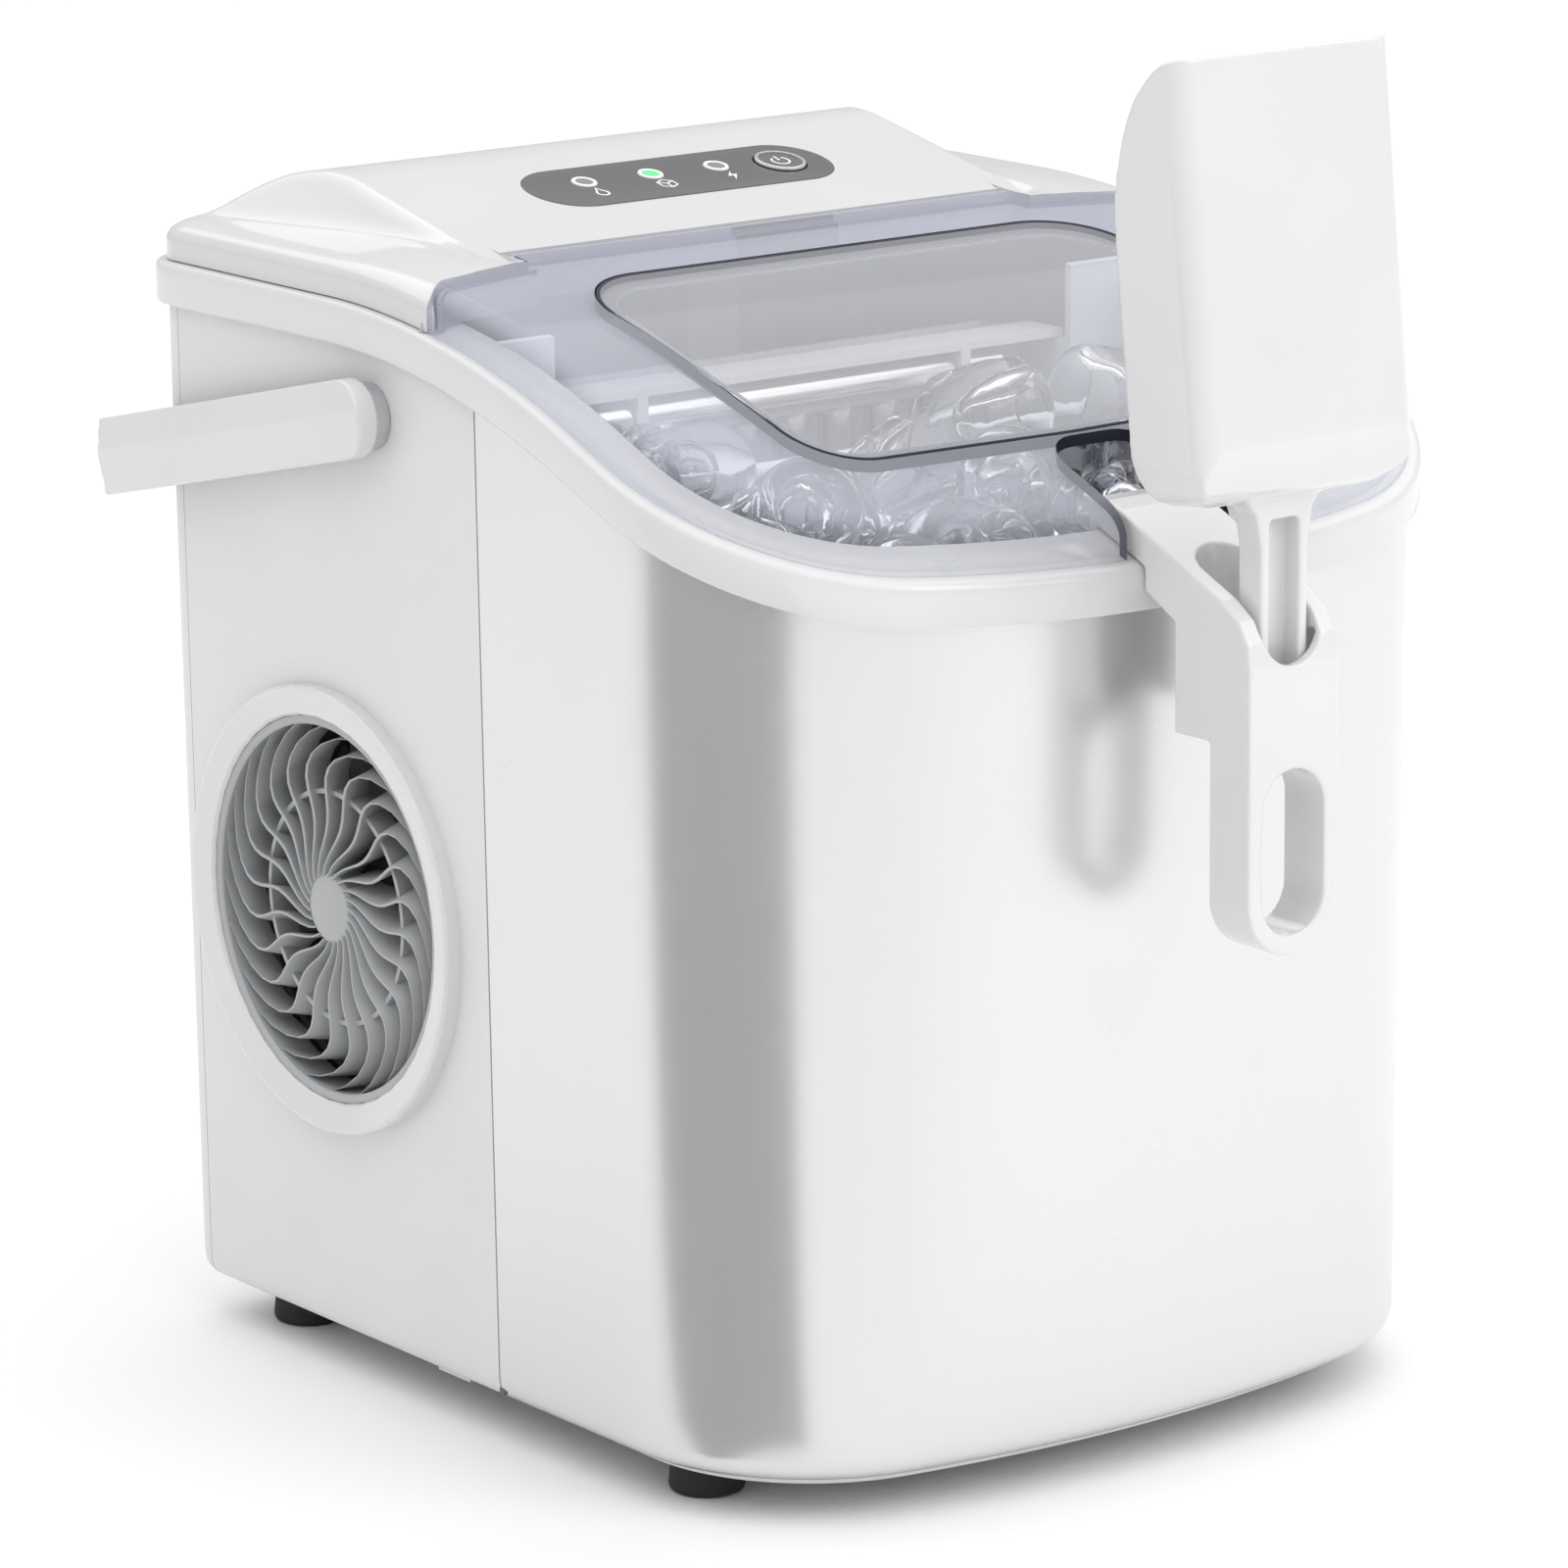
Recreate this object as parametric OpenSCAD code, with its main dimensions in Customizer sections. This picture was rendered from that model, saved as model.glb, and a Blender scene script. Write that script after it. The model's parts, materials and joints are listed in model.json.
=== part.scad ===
// Countertop ice maker: a rounded box with a sloping top deck, a hinged clear lid, a folding
// carry handle, and a scoop that hangs in a hook-on holder. Millimetres, +Z up, front towards -Y.
// Modules are drawn about the middle of the body, and placed() centres the whole object on the origin.

/* [Body] */
// Width across the two side panels
body_w = 222; // [220:0.5:224]
// Depth from the front panel to the rear panel
body_d = 250; // [249:0.5:251]
// Radius of the two front corners
front_corner_r = 56; // [52:1:58]
// How far the front panel bows out between its corners
front_bow = 4.5; // [3.5:0.5:5]
// Radius of the two rear corners
rear_corner_r = 12; // [11:0.5:12]
// Height of the underside above the table
foot_h = 8; // [6:0.5:9]
// Thickness of the outer panels
panel_t = 2; // [1.5:0.25:2]
// Joint between the front wrap and the side panels, from the middle of the body
seam_y = -12; // [-14:1:-9]

/* [Deck] */
// Height of the rim's lower edge where the deck is flat
deck_z = 257.5; // [257:0.25:258]
// Where the deck starts to bend down, from the middle of the body
deck_flat_y = 48; // [46:1:50]
// Radius of the bend
deck_bend_r = 260; // [250:5:270]
// Slope of the front half of the deck, in degrees
deck_slope = 22; // [21:0.5:23]
// Height of the white rim band
rim_h = 10.5; // [10:0.25:11]
// How far the rim stands out from the panels
rim_proud = 3; // [2:0.25:3]
// Height of the lid's top surface above the rim's lower edge
lid_rise = 21; // [20:0.5:22]
// Thickness of the lid
lid_t = 3; // [2.5:0.25:3]
// Angle that the lid opens to
lid_open = 80; // [40:5:80]

/* [Vents] */
// Centre of the round side vents, from the middle of the body
vent_y = 54; // [52:1:56]
// Height of the vents' centre
vent_z = 118; // [114:1:122]
// Radius of the vent opening
vent_r = 47.5; // [46:0.5:48]
// Number of swirl vanes in a grille
vane_count = 24; // [16:1:28]

/* [Handle] */
// Pivot of the carry handle, from the middle of the body
handle_y = 30; // [28:1:32]
// Height of the pivot
handle_z = 242; // [240:1:243]
// Inner reach of the handle from its pivot to the grip
handle_reach = 102.4; // [102.2:0.1:104]
// Droop of the folded handle, in degrees
handle_droop = 13; // [12:0.5:15]

/* [Scoop] */
// Middle of the holder and the scoop, left to right
scoop_x = 4.5; // [0:0.5:6]
// Height of the scoop's bowl
bowl_h = 100; // [90:1:105]
// Half width of the scoop's bowl
bowl_hw = 33; // [30:1:34]
// Lean of the bowl towards the machine, in degrees
bowl_lean = 6.5; // [5:0.5:8]

/* [Hidden] */
$fn = 48;

half_w = body_w / 2;
half_d = body_d / 2;
far = 160;
top_z = 340;
gap = 0.3;

// Front corner arcs are centred here
corner_x = half_w - front_corner_r;
corner_y = -half_d + front_bow + front_corner_r;
// The rear panel takes over where its corners start
rear_seam_y = half_d - rear_corner_r;
wall_z = foot_h + 2;
// Panels tuck this far up inside the rim band
panel_tuck = 5.8;

// The bend of the deck ends here and the straight slope starts
bend_end_y = deck_flat_y - deck_bend_r * sin(deck_slope);
bend_end_z = deck_z - deck_bend_r * (1 - cos(deck_slope));

// Inset of the tub's inner wall from the body's outline, and of the basket's outer wall
tub_inset = 13;
basket_inset = 18;
tub_wall = 2;
tub_floor_z = 54;
tub_back_y = 4;
bay_hw = 80;
bay_back_y = 40;
bay_floor_z = 172;
bay_top_z = 242;

// Lid hinge barrel
hinge_y = 24;
hinge_z = deck_z + lid_rise - 4.5;
hinge_r = 3;
hinge_pin_r = 1.2;
running_gap = 0.05;
hinge_notch_hw = 76;
hinge_wall_y = hinge_y + hinge_r + gap;
// The lid's top stops this far in front of the hinge, so that it swings clear of the cover
lid_back = 2.8;

// Sloping control face of the cover
face_z = 277;
ridge_y = 86;
ridge_z = 290;
face_slope = atan2(ridge_z - face_z, ridge_y - hinge_wall_y);
panel_x = 1;
panel_up = 32.5;
panel_w = 90;
panel_h = 25;
lamp_x = [-27, -7, 13];
lamp_up = 2.5;
lamp_r = 2.6;
button_x = 31;
button_r = 6.6;
button_travel = 0.8;
board_top = -10.4;

// Carry handle
arm_in = half_w + 4.3;
arm_t = 6.1;
arm_half_h = 9.5;
grip_t = 6.5;
pivot_pin_r = 4;

// Water tray, evaporator and pusher
tray_y = 14;
tray_z = 208;
tray_r = 20;
tray_hw = 66;
tray_axle_r = 3;
finger_count = 9;
finger_pitch = 14;
finger_r = 4.5;
manifold_z = 236;
hot_gas_x = 30;
pusher_y = -11;
pusher_z = 224;
pusher_r = 2.5;

// Basket
basket_z = 118;
basket_back_y = -16;
basket_gate_z = 186;

// Fan and condenser behind the left vent
fan_x = -99;
fan_depth = 11;
fan_r = 40;
fan_hub_r = 14;
motor_shaft_r = 1.5;

// Compressor
comp_x = 42;
comp_y = 70;
comp_r = 43;

// Scoop holder: side view of the strip
holder_hw = 13.3;
holder_front_y = -165;
holder_depth = 14;
holder_tip_z = 132;
holder_slot_hw = 8.5;
bowl_front_y = -172;
bowl_z = 238;
bowl_depth = 24;
bowl_wall = 2.2;
scoop_grip_y = [-161.3, -153.3];

// Drain and cord entry in the rear panel
drain_x = -75;
drain_z = 62;
cord_x = 78;
cord_z = 38;
cord_bore_r = 4;

// The whole object is centred front to back between the bowl and the folded grip
grip_far = handle_reach + grip_t;
rear_reach = handle_y + grip_far * cos(handle_droop) + arm_half_h * sin(handle_droop);
centre_shift = -(bowl_front_y + rear_reach) / 2;

shell_white = [0.93, 0.93, 0.93];
panel_silver = [0.88, 0.88, 0.89];
smoke = [0.55, 0.56, 0.68, 0.5];
clear = [0.85, 0.87, 0.95, 0.35];
dark = [0.22, 0.22, 0.23];
steel = [0.75, 0.76, 0.78];
copper = [0.8, 0.48, 0.3];

function reversed(v) = [for (i = [len(v) - 1:-1:0]) v[i]];
function arc(cx, cy, r, a0, a1, n) =
    [for (i = [0:n]) let (a = a0 + (a1 - a0) * i / n) [cx + r * cos(a), cy + r * sin(a)]];

// Plan outline of the body, grown by g
function outline(g) = concat(
    [for (i = [1:7]) let (x = -corner_x + 2 * corner_x * i / 8)
        [x, -half_d - g + front_bow * pow(x / corner_x, 2)]],
    arc(corner_x, corner_y, front_corner_r + g, -90, 0, 9),
    let (r = max(rear_corner_r + g, 1)) concat(
        arc(half_w + g - r, half_d + g - r, r, 0, 90, 4),
        arc(-half_w - g + r, half_d + g - r, r, 90, 180, 4)),
    arc(-corner_x, corner_y, front_corner_r + g, 180, 270, 9));

// Height of the rim's lower edge at y
function deck(y) =
    y >= deck_flat_y ? deck_z :
    y >= bend_end_y ? deck_z - deck_bend_r + sqrt(pow(deck_bend_r, 2) - pow(deck_flat_y - y, 2)) :
    bend_end_z - tan(deck_slope) * (bend_end_y - y);
function deck_line(off) = [for (y = concat([-far],
    [for (i = [0:8]) bend_end_y + (deck_flat_y - bend_end_y) * i / 8], [far])) [y, deck(y) + off]];

// Front edge of the cover in plan, drawn back by g for the lid
function cover_edge(g) = [[-150, -20 - g], [-103.5, 11 - g], [-79, 15.6 - g],
    [-hinge_notch_hw + g, 15.6 - g], [-hinge_notch_hw + g, hinge_wall_y - g],
    [hinge_notch_hw - g, hinge_wall_y - g], [hinge_notch_hw - g, 15.6 - g],
    [79, 15.6 - g], [103.5, 11 - g], [150, -20 - g]];

module placed() translate([0, centre_shift, 0]) children();
module block(x, y, z) translate([x[0], y[0], z[0]]) cube([x[1] - x[0], y[1] - y[0], z[1] - z[0]]);
module rod_x(r, x, y, z) translate([x[0], y, z]) rotate([0, 90, 0]) cylinder(r = r, h = x[1] - x[0]);
module rod_y(r, x, y, z) translate([x, y[1], z]) rotate([90, 0, 0]) cylinder(r = r, h = y[1] - y[0]);
module rod_z(r, x, y, z) translate([x, y, z[0]]) cylinder(r = r, h = z[1] - z[0]);
// Extrudes a (y, z) outline across x
module across(pts, x) translate([x[0], 0, 0]) rotate([90, 0, 90]) linear_extrude(x[1] - x[0]) polygon(pts);
// Extrudes an (x, z) outline along y
module along(pts, y) translate([0, y[1], 0]) rotate([90, 0, 0]) linear_extrude(y[1] - y[0]) polygon(pts);
module plan(g, z = [0, top_z]) translate([0, 0, z[0]]) linear_extrude(z[1] - z[0]) polygon(outline(g));
// Slice between two offsets from the deck, and everything under an offset
module band(lo, hi) across(concat(deck_line(lo), reversed(deck_line(hi))), [-far, far]);
module under_deck(off) across(concat([[-far, -20]], deck_line(off), [[far, -20]]), [-far, far]);
module stadium(w, h, z) translate([0, 0, z[0]]) linear_extrude(z[1] - z[0]) {
    square([w - h, h], center = true);
    for (s = [-1, 1])
        translate([s * (w - h) / 2, 0]) circle(d = h);
}
module both_sides() for (s = [0, 1])
    mirror([s, 0, 0]) children();
// Bent pipe through a list of points, with slightly swollen ball corners
module pipe(pts, r) for (i = [0:len(pts) - 2]) {
    d = pts[i + 1] - pts[i];
    translate(pts[i]) rotate([0, acos(d[2] / norm(d)), atan2(d[1], d[0])]) cylinder(r = r, h = norm(d));
    if (i > 0)
        translate(pts[i]) sphere(r = r + 0.25);
}

// Thin bent tube with eight sides, mitred at each point of its route
function unit(v) = v / norm(v);
function tangent(pts, i) =
    i == 0 ? unit(pts[1] - pts[0]) :
    i == len(pts) - 1 ? unit(pts[i] - pts[i - 1]) :
    unit(unit(pts[i] - pts[i - 1]) + unit(pts[i + 1] - pts[i]));
function tube_ring(pts, i, r) =
    let (t = tangent(pts, i), u = unit(cross(t, [0.36, 0.48, 0.8])), v = cross(t, u))
        [for (k = [0:7]) pts[i] + r * (u * cos(k * 45) + v * sin(k * 45))];
module tube(pts, r) polyhedron(
    points = [for (i = [0:len(pts) - 1]) each tube_ring(pts, i, r)],
    faces = concat([[for (k = [0:7]) k]],
        [for (i = [0:len(pts) - 2]) for (k = [0:7]) let (a = i * 8 + k, b = i * 8 + (k + 1) % 8)
            each [[a, a + 8, b + 8], [a, b + 8, b]]],
        [[for (k = [7:-1:0]) (len(pts) - 1) * 8 + k]]));

// ---- Housing ----
module base_pan() placed() color(shell_white) difference() {
    union() {
        plan(-1.2, [foot_h, wall_z - 0.2]);
        difference() {
            plan(-panel_t - 0.3, [foot_h, wall_z + 6]);
            plan(-panel_t - 2.3, [wall_z - 0.2, top_z]);
        }
    }
    for (p = foot_spots())
        rod_z(3.2, p[0], p[1], [0, 20]);
}
function foot_spots() = [[-90, -68], [90, -68], [-90, 98], [90, 98]];
module feet() placed() color([0.1, 0.1, 0.1]) for (p = foot_spots()) {
    rod_z(9, p[0], p[1], [0, foot_h - 0.05]);
    rod_z(3.1, p[0], p[1], [foot_h - 0.1, wall_z + 1]);
}

module wall_shell() intersection() {
    difference() {
        plan(0, [wall_z, top_z]);
        plan(-panel_t, [0, top_z + 10]);
    }
    under_deck(panel_tuck);
}
module front_wrap() placed() color(panel_silver) intersection() {
    wall_shell();
    block([-far, far], [-far, seam_y - gap / 2], [0, top_z]);
}
vent_ring_r = vent_r + 7.5;
vent_ring_proud = 3.5;
module side_panel() difference() {
    union() {
        intersection() {
            block([-half_w, -half_w + panel_t], [seam_y + gap / 2, rear_seam_y - gap / 2], [wall_z, top_z]);
            under_deck(panel_tuck);
        }
        rod_x(vent_ring_r, [-half_w - vent_ring_proud, -half_w + panel_t], vent_y, vent_z);
    }
    rod_x(vent_r, [-far, -80], vent_y, vent_z);
    rod_x(pivot_pin_r + gap, [-far, -80], handle_y, handle_z);
}
module left_side_panel() placed() color(shell_white) side_panel();
module right_side_panel() placed() color(shell_white) mirror([1, 0, 0]) side_panel();

rear_screw_spots = [[-96, 24], [96, 24], [-96, 150], [96, 150], [-96, 246], [96, 246]];
module rear_panel() placed() color(shell_white) difference() {
    intersection() {
        wall_shell();
        block([-far, far], [rear_seam_y + gap / 2, far], [0, top_z]);
    }
    rod_y(6.4, drain_x, [110, far], drain_z);
    rod_y(7.2, cord_x, [110, far], cord_z);
    for (p = rear_screw_spots)
        rod_y(1.8, p[0], [110, far], p[1]);
    for (i = [0:9])
        block([-40, 40], [110, far], [70 + i * 9, 73 + i * 9]);
}
module rear_screws() placed() color(steel) for (p = rear_screw_spots) {
    rod_y(3.4, p[0], [half_d + 0.1, half_d + 2], p[1]);
    rod_y(1.6, p[0], [half_d - 8, half_d + 0.2], p[1]);
}
base_screw_spots = [[-60, -96], [60, -96], [-60, 112], [60, 112]];
module base_screws() placed() color(steel) for (p = base_screw_spots)
    rod_z(3, p[0], p[1], [foot_h - 1.6, foot_h - 0.05]);

module top_rim() placed() color([0.96, 0.96, 0.96]) {
    intersection() {
        difference() {
            plan(rim_proud, [150, top_z]);
            plan(0.15, [140, top_z + 10]);
        }
        band(0, rim_h);
    }
    intersection() {
        difference() {
            plan(1, [150, top_z]);
            plan(-tub_inset, [140, top_z + 10]);
        }
        band(rim_h - lid_t, rim_h);
    }
}

// Terraced rounding shared by the lid and the cover: [growth, height above the deck]
cap_steps = [[0.3, 15.5], [-1.4, 17.6], [-4.4, 19.8], [-9, lid_rise]];
module cap(wall) for (s = cap_steps)
    intersection() {
        plan(s[0] - wall, [150, top_z]);
        band(wall > 0 ? 0 : rim_h + gap, s[1] - wall);
    }
module cover_area() linear_extrude(top_z) polygon(concat(cover_edge(0), [[150, far], [-150, far]]));
module hump(t) intersection() {
    across([[hinge_wall_y + t, 262 - t], [hinge_wall_y + t, face_z - t], [ridge_y, ridge_z - t],
            [98, ridge_z - 0.4 - t], [110 - t / 2, 285 - t], [120 - t, 276 - t], [120 - t, 262 - t]],
           [-far, far]);
    along([[-97 + t, 250], [-97 + t, 278 - t / 2], [-83 + t / 2, ridge_z + 1], [83 - t / 2, ridge_z + 1],
           [97 - t, 278 - t / 2], [97 - t, 250]], [0, far]);
}
module on_face() translate([0, hinge_wall_y, face_z]) rotate([face_slope, 0, 0]) children();
module on_panel() on_face() translate([panel_x, panel_up, 0]) children();
module top_cover() placed() color([0.87, 0.87, 0.88]) difference() {
    union() {
        difference() {
            union() {
                intersection() {
                    cap(0);
                    cover_area();
                }
                hump(0);
            }
            intersection() {
                cap(2.6);
                block([-far, far], [hinge_wall_y + 2.6, far], [200, top_z]);
            }
            hump(2.6);
            block([-98, 98], [hinge_wall_y + 2.6, rear_seam_y - 4], [200, deck_z + 14]);
        }
        for (x = [-41, 41])
            on_panel() rod_z(3, x, 0, [board_top, -2]);
    }
    on_panel() stadium(panel_w + 0.4, panel_h + 0.4, [-1.7, 9]);
    for (x = lamp_x)
        on_panel() rod_z(lamp_r + 0.3, x, lamp_up, [-4, 1]);
    on_panel() rod_z(button_r + 0.9, button_x, 0, [-4, 1]);
    both_sides() rod_x(hinge_pin_r + running_gap, [hinge_notch_hw - 1, 84.2], hinge_y, hinge_z);
}

module control_panel() placed() color(dark) difference() {
    on_panel() stadium(panel_w, panel_h, [-1.5, 0.2]);
    for (x = lamp_x)
        on_panel() rod_z(lamp_r + 0.15, x, lamp_up, [-4, 1]);
    on_panel() rod_z(button_r + gap, button_x, 0, [-4, 1]);
}
module power_button() placed() color([0.35, 0.35, 0.36]) on_panel() {
    rod_z(button_r, button_x, 0, [-1.6, 1.1]);
    rod_z(2, button_x, 0, [-7.1, -1.5]);
}
module lens(i) placed() on_panel() rod_z(lamp_r, lamp_x[i], lamp_up, [-3.6, 0.4]);
module lens_add_water() color([0.85, 0.85, 0.85]) lens(0);
module lens_ice_full() color([0.2, 0.8, 0.3]) lens(1);
module lens_power() color([0.85, 0.85, 0.85]) lens(2);
module control_board() placed() color([0.1, 0.35, 0.2]) on_panel() {
    stadium(panel_w, panel_h - 4, [board_top - 1.6, board_top - 0.05]);
    for (x = lamp_x)
        rod_z(2.2, x, lamp_up, [board_top - 0.1, -4]);
    block([button_x - 3, button_x + 3], [-3, 3], [board_top - 0.1, -8.6]);
    rod_z(1.7, button_x, 0, [-8.7, -8]);
}
module panel_cable() placed() color([0.8, 0.8, 0.8]) {
    block([14, 30], [74, 75], [204, 262]);
    block([14, 30], [62, 75], [262, 263]);
    block([14, 30], [62, 63], [262, 270]);
}

// ---- Lid ----
module lid_area() linear_extrude(top_z) polygon(concat([[-far, -far]], cover_edge(0.5), [[far, -far]]));
// Window outline: long sides closing slightly to the front, rounded corners, grown by g
window_back_y = -1;
window_front_y = -92.5;
function window_outline(g) = concat(
    arc(58, window_back_y - 20, 20 + g, 90, 4, 6),
    arc(54, window_front_y + 19, 18 + g, 0, -86, 6),
    [[0, window_front_y - g]],
    arc(-54, window_front_y + 19, 18 + g, -94, -180, 6),
    arc(-58, window_back_y - 20, 20 + g, 176, 90, 6));
module window_prism(g) linear_extrude(top_z) polygon(window_outline(g));
notch_hw = 15.5;
module lid_notch() linear_extrude(top_z) polygon(concat([[scoop_x + notch_hw, -far]],
    arc(scoop_x + notch_hw - 10, -103.5, 10, 0, 90, 4), arc(scoop_x - notch_hw + 10, -103.5, 10, 90, 180, 4),
    [[scoop_x - notch_hw, -far]]));
module lid() placed() color(smoke) difference() {
    union() {
        difference() {
            intersection() {
                cap(0);
                lid_area();
                union() {
                    block([-far, far], [-far, hinge_y - lid_back], [150, top_z]);
                    block([-hinge_notch_hw, hinge_notch_hw], [0, hinge_y], [150, hinge_z + 2.4]);
                }
            }
            intersection() {
                cap(lid_t);
                block([-far, far], [-far, hinge_y - lid_back], [150, top_z]);
            }
            block([-hinge_notch_hw, hinge_notch_hw], [14, far], [150, hinge_z - hinge_r]);
            intersection() {
                window_prism(0.2);
                band(lid_rise - 1.6, lid_rise + 9);
            }
            window_prism(-3.5);
        }
        rod_x(hinge_r, [-hinge_notch_hw + 0.7, hinge_notch_hw - 0.7], hinge_y, hinge_z);
    }
    both_sides() rod_x(hinge_pin_r + running_gap, [66, far], hinge_y, hinge_z);
    lid_notch();
}
module lid_window() placed() color(clear) intersection() {
    window_prism(0);
    band(lid_rise - 1.5, lid_rise);
}
module lid_hinge_pins() placed() color(steel) both_sides() rod_x(hinge_pin_r, [66.3, 84], hinge_y, hinge_z);

// ---- Tub, insulation and basket ----
module tub_solid(g, back, hw, bay_back, floor_z, bay_floor) {
    intersection() {
        plan(-tub_inset + g, [floor_z, top_z]);
        block([-far, far], [-far, back], [0, top_z]);
        under_deck(rim_h - lid_t - 0.2 + (g > 0 ? 0 : 30));
    }
    block([-hw, hw], [back - 1, bay_back], [bay_floor, g > 0 ? bay_top_z : top_z]);
}
module inner_liner() placed() color([0.8, 0.83, 0.86]) difference() {
    union() {
        difference() {
            tub_solid(tub_wall, tub_back_y, bay_hw, bay_back_y, tub_floor_z, bay_floor_z);
            tub_solid(0, tub_back_y - tub_wall, bay_hw - tub_wall, bay_back_y - tub_wall,
                      tub_floor_z + tub_wall, bay_floor_z + tub_wall);
        }
        // Ledges under the basket and bearing bosses for the pusher
        both_sides() block([90, half_w - tub_inset + 1], [-58, -30], [basket_z - 6, basket_z - gap]);
        both_sides() rod_x(5, [93, half_w - tub_inset + 1], pusher_y, pusher_z);
    }
    both_sides() rod_x(pusher_r + running_gap, [90, half_w - tub_inset + 0.5], pusher_y, pusher_z);
    both_sides() rod_x(tray_axle_r + running_gap, [bay_hw - 4, bay_hw + 2], tray_y, tray_z);
    for (x = [-60, hot_gas_x, 60])
        rod_y(3.6, x, [30, 50], manifold_z);
    rod_y(4, drain_x, [0, 10], drain_z);
}
module insulation() placed() color([0.96, 0.96, 0.9]) difference() {
    intersection() {
        plan(-panel_t - 0.6, [42, top_z]);
        block([-far, far], [-far, -3], [0, top_z]);
        under_deck(-1);
    }
    plan(-tub_inset + tub_wall + 0.3, [tub_floor_z - 0.3, top_z]);
}
module bulkhead() placed() color(steel) difference() {
    union() {
        block([-106, 106], [5, 6.5], [wall_z + 0.1, 168]);
        block([-106, 106], [5, 18], [wall_z + 0.1, wall_z + 1.6]);
    }
    rod_y(5.6, drain_x, [0, 20], drain_z);
}

basket_wall = 2;
module basket_outer(g) intersection() {
    plan(-basket_inset - g, [basket_z + g, top_z]);
    block([-far, far], [-far, basket_back_y - g], [0, top_z]);
}
module ice_basket() placed() color([0.9, 0.92, 0.94]) difference() {
    intersection() {
        basket_outer(0);
        under_deck(-3);
    }
    basket_outer(basket_wall);
    // Low gate at the back, where the ice comes in
    block([-84, 84], [basket_back_y - 6, 0], [basket_gate_z, top_z]);
    for (x = [-72:18:72])
        for (y = [-88, -56])
            block([x - 2.5, x + 2.5], [y, y + 24], [basket_z - 1, basket_z + 6]);
    for (y = [-60, -46, -32])
        block([-far, far], [y - 2.5, y + 2.5], [132, 196]);
    for (x = [-45, -27, -9, 9, 27, 45])
        block([x - 2.5, x + 2.5], [-far, -80], [130, 186]);
}

// ---- Ice making ----
module evaporator() placed() color(steel) {
    rod_x(6, [-62, 62], tray_y, manifold_z);
    for (i = [0:finger_count - 1])
        let (x = (i - (finger_count - 1) / 2) * finger_pitch) {
            rod_z(finger_r, x, tray_y, [200, manifold_z]);
            translate([x, tray_y, 200]) sphere(r = finger_r);
        }
}
module evaporator_plate() placed() color(shell_white) difference() {
    union() {
        block([-80, 80], [7, 21], [242.2, 244.2]);
        for (x = [-49, 49])
            block([x - 1.5, x + 1.5], [7, 21], [232, 243]);
    }
    rod_x(6.1, [-60, 60], tray_y, manifold_z);
    block([-60, 60], [tray_y - 6.1, tray_y + 6.1], [220, manifold_z]);
}
module water_tray() placed() color([0.86, 0.9, 0.95]) {
    difference() {
        rod_x(tray_r, [-tray_hw, tray_hw], tray_y, tray_z);
        rod_x(tray_r - 2, [-tray_hw + 2, tray_hw - 2], tray_y, tray_z);
        block([-far, far], [-far, far], [tray_z, top_z]);
    }
    both_sides() rod_x(tray_axle_r, [tray_hw - 1, bay_hw - 0.3], tray_y, tray_z);
    both_sides() rod_x(5, [tray_hw - 1.5, tray_hw], tray_y, tray_z);
    rod_x(tray_axle_r, [bay_hw - 1, bay_hw + 2.5], tray_y, tray_z);
}
module tray_motor() placed() color([0.3, 0.3, 0.32]) difference() {
    union() {
        block([bay_hw + 0.8, bay_hw + 14], [5, 23], [190, 228]);
        rod_x(7, [bay_hw + 0.3, bay_hw + 1], tray_y, tray_z);
    }
    rod_x(tray_axle_r + running_gap, [bay_hw, bay_hw + 3], tray_y, tray_z);
}
module ice_pusher() placed() color([0.86, 0.9, 0.95]) {
    rod_x(pusher_r, [-half_w + tub_inset + 0.4, half_w - tub_inset - 0.4], pusher_y, pusher_z);
    block([-70, 70], [pusher_y - 1, pusher_y + 1], [198, pusher_z]);
    for (i = [-5:5])
        block([i * 13 - 4, i * 13 + 4], [pusher_y - 1, pusher_y + 1], [192, 199]);
}
module ice_full_sensors() placed() color([0.15, 0.15, 0.16]) both_sides() {
    block([94, half_w - tub_inset - 0.1], [-46, -34], [243, 248.5]);
    rod_x(1.8, [93.5, 95], -40, 245.5);
}
module water_pump() placed() color([0.25, 0.26, 0.28]) {
    rod_z(12, -60, -12, [tub_floor_z + tub_wall + 0.1, 80]);
    rod_z(4, -60, -12, [79, 85.9]);
    rod_x(5, [-50, -44], -12, 64);
}
module pump_hose() placed() color([0.85, 0.85, 0.8]) difference() {
    pipe([[-60, -12, 86], [-60, -12, 94], [-74, -3, 104], [-74, -3, 216], [-74, 4, 230], [-58, 4, 230]], 2.6);
    rod_x(1.6, [-63, -50], 4, 230);
}
module water_level_sensor() placed() color(shell_white) {
    rod_z(2, 60, -8, [tub_floor_z + tub_wall + 0.1, 96]);
    difference() {
        rod_z(8, 60, -8, [84, 92]);
        rod_z(1, 60, -8, [83, 93]);
    }
}

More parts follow.
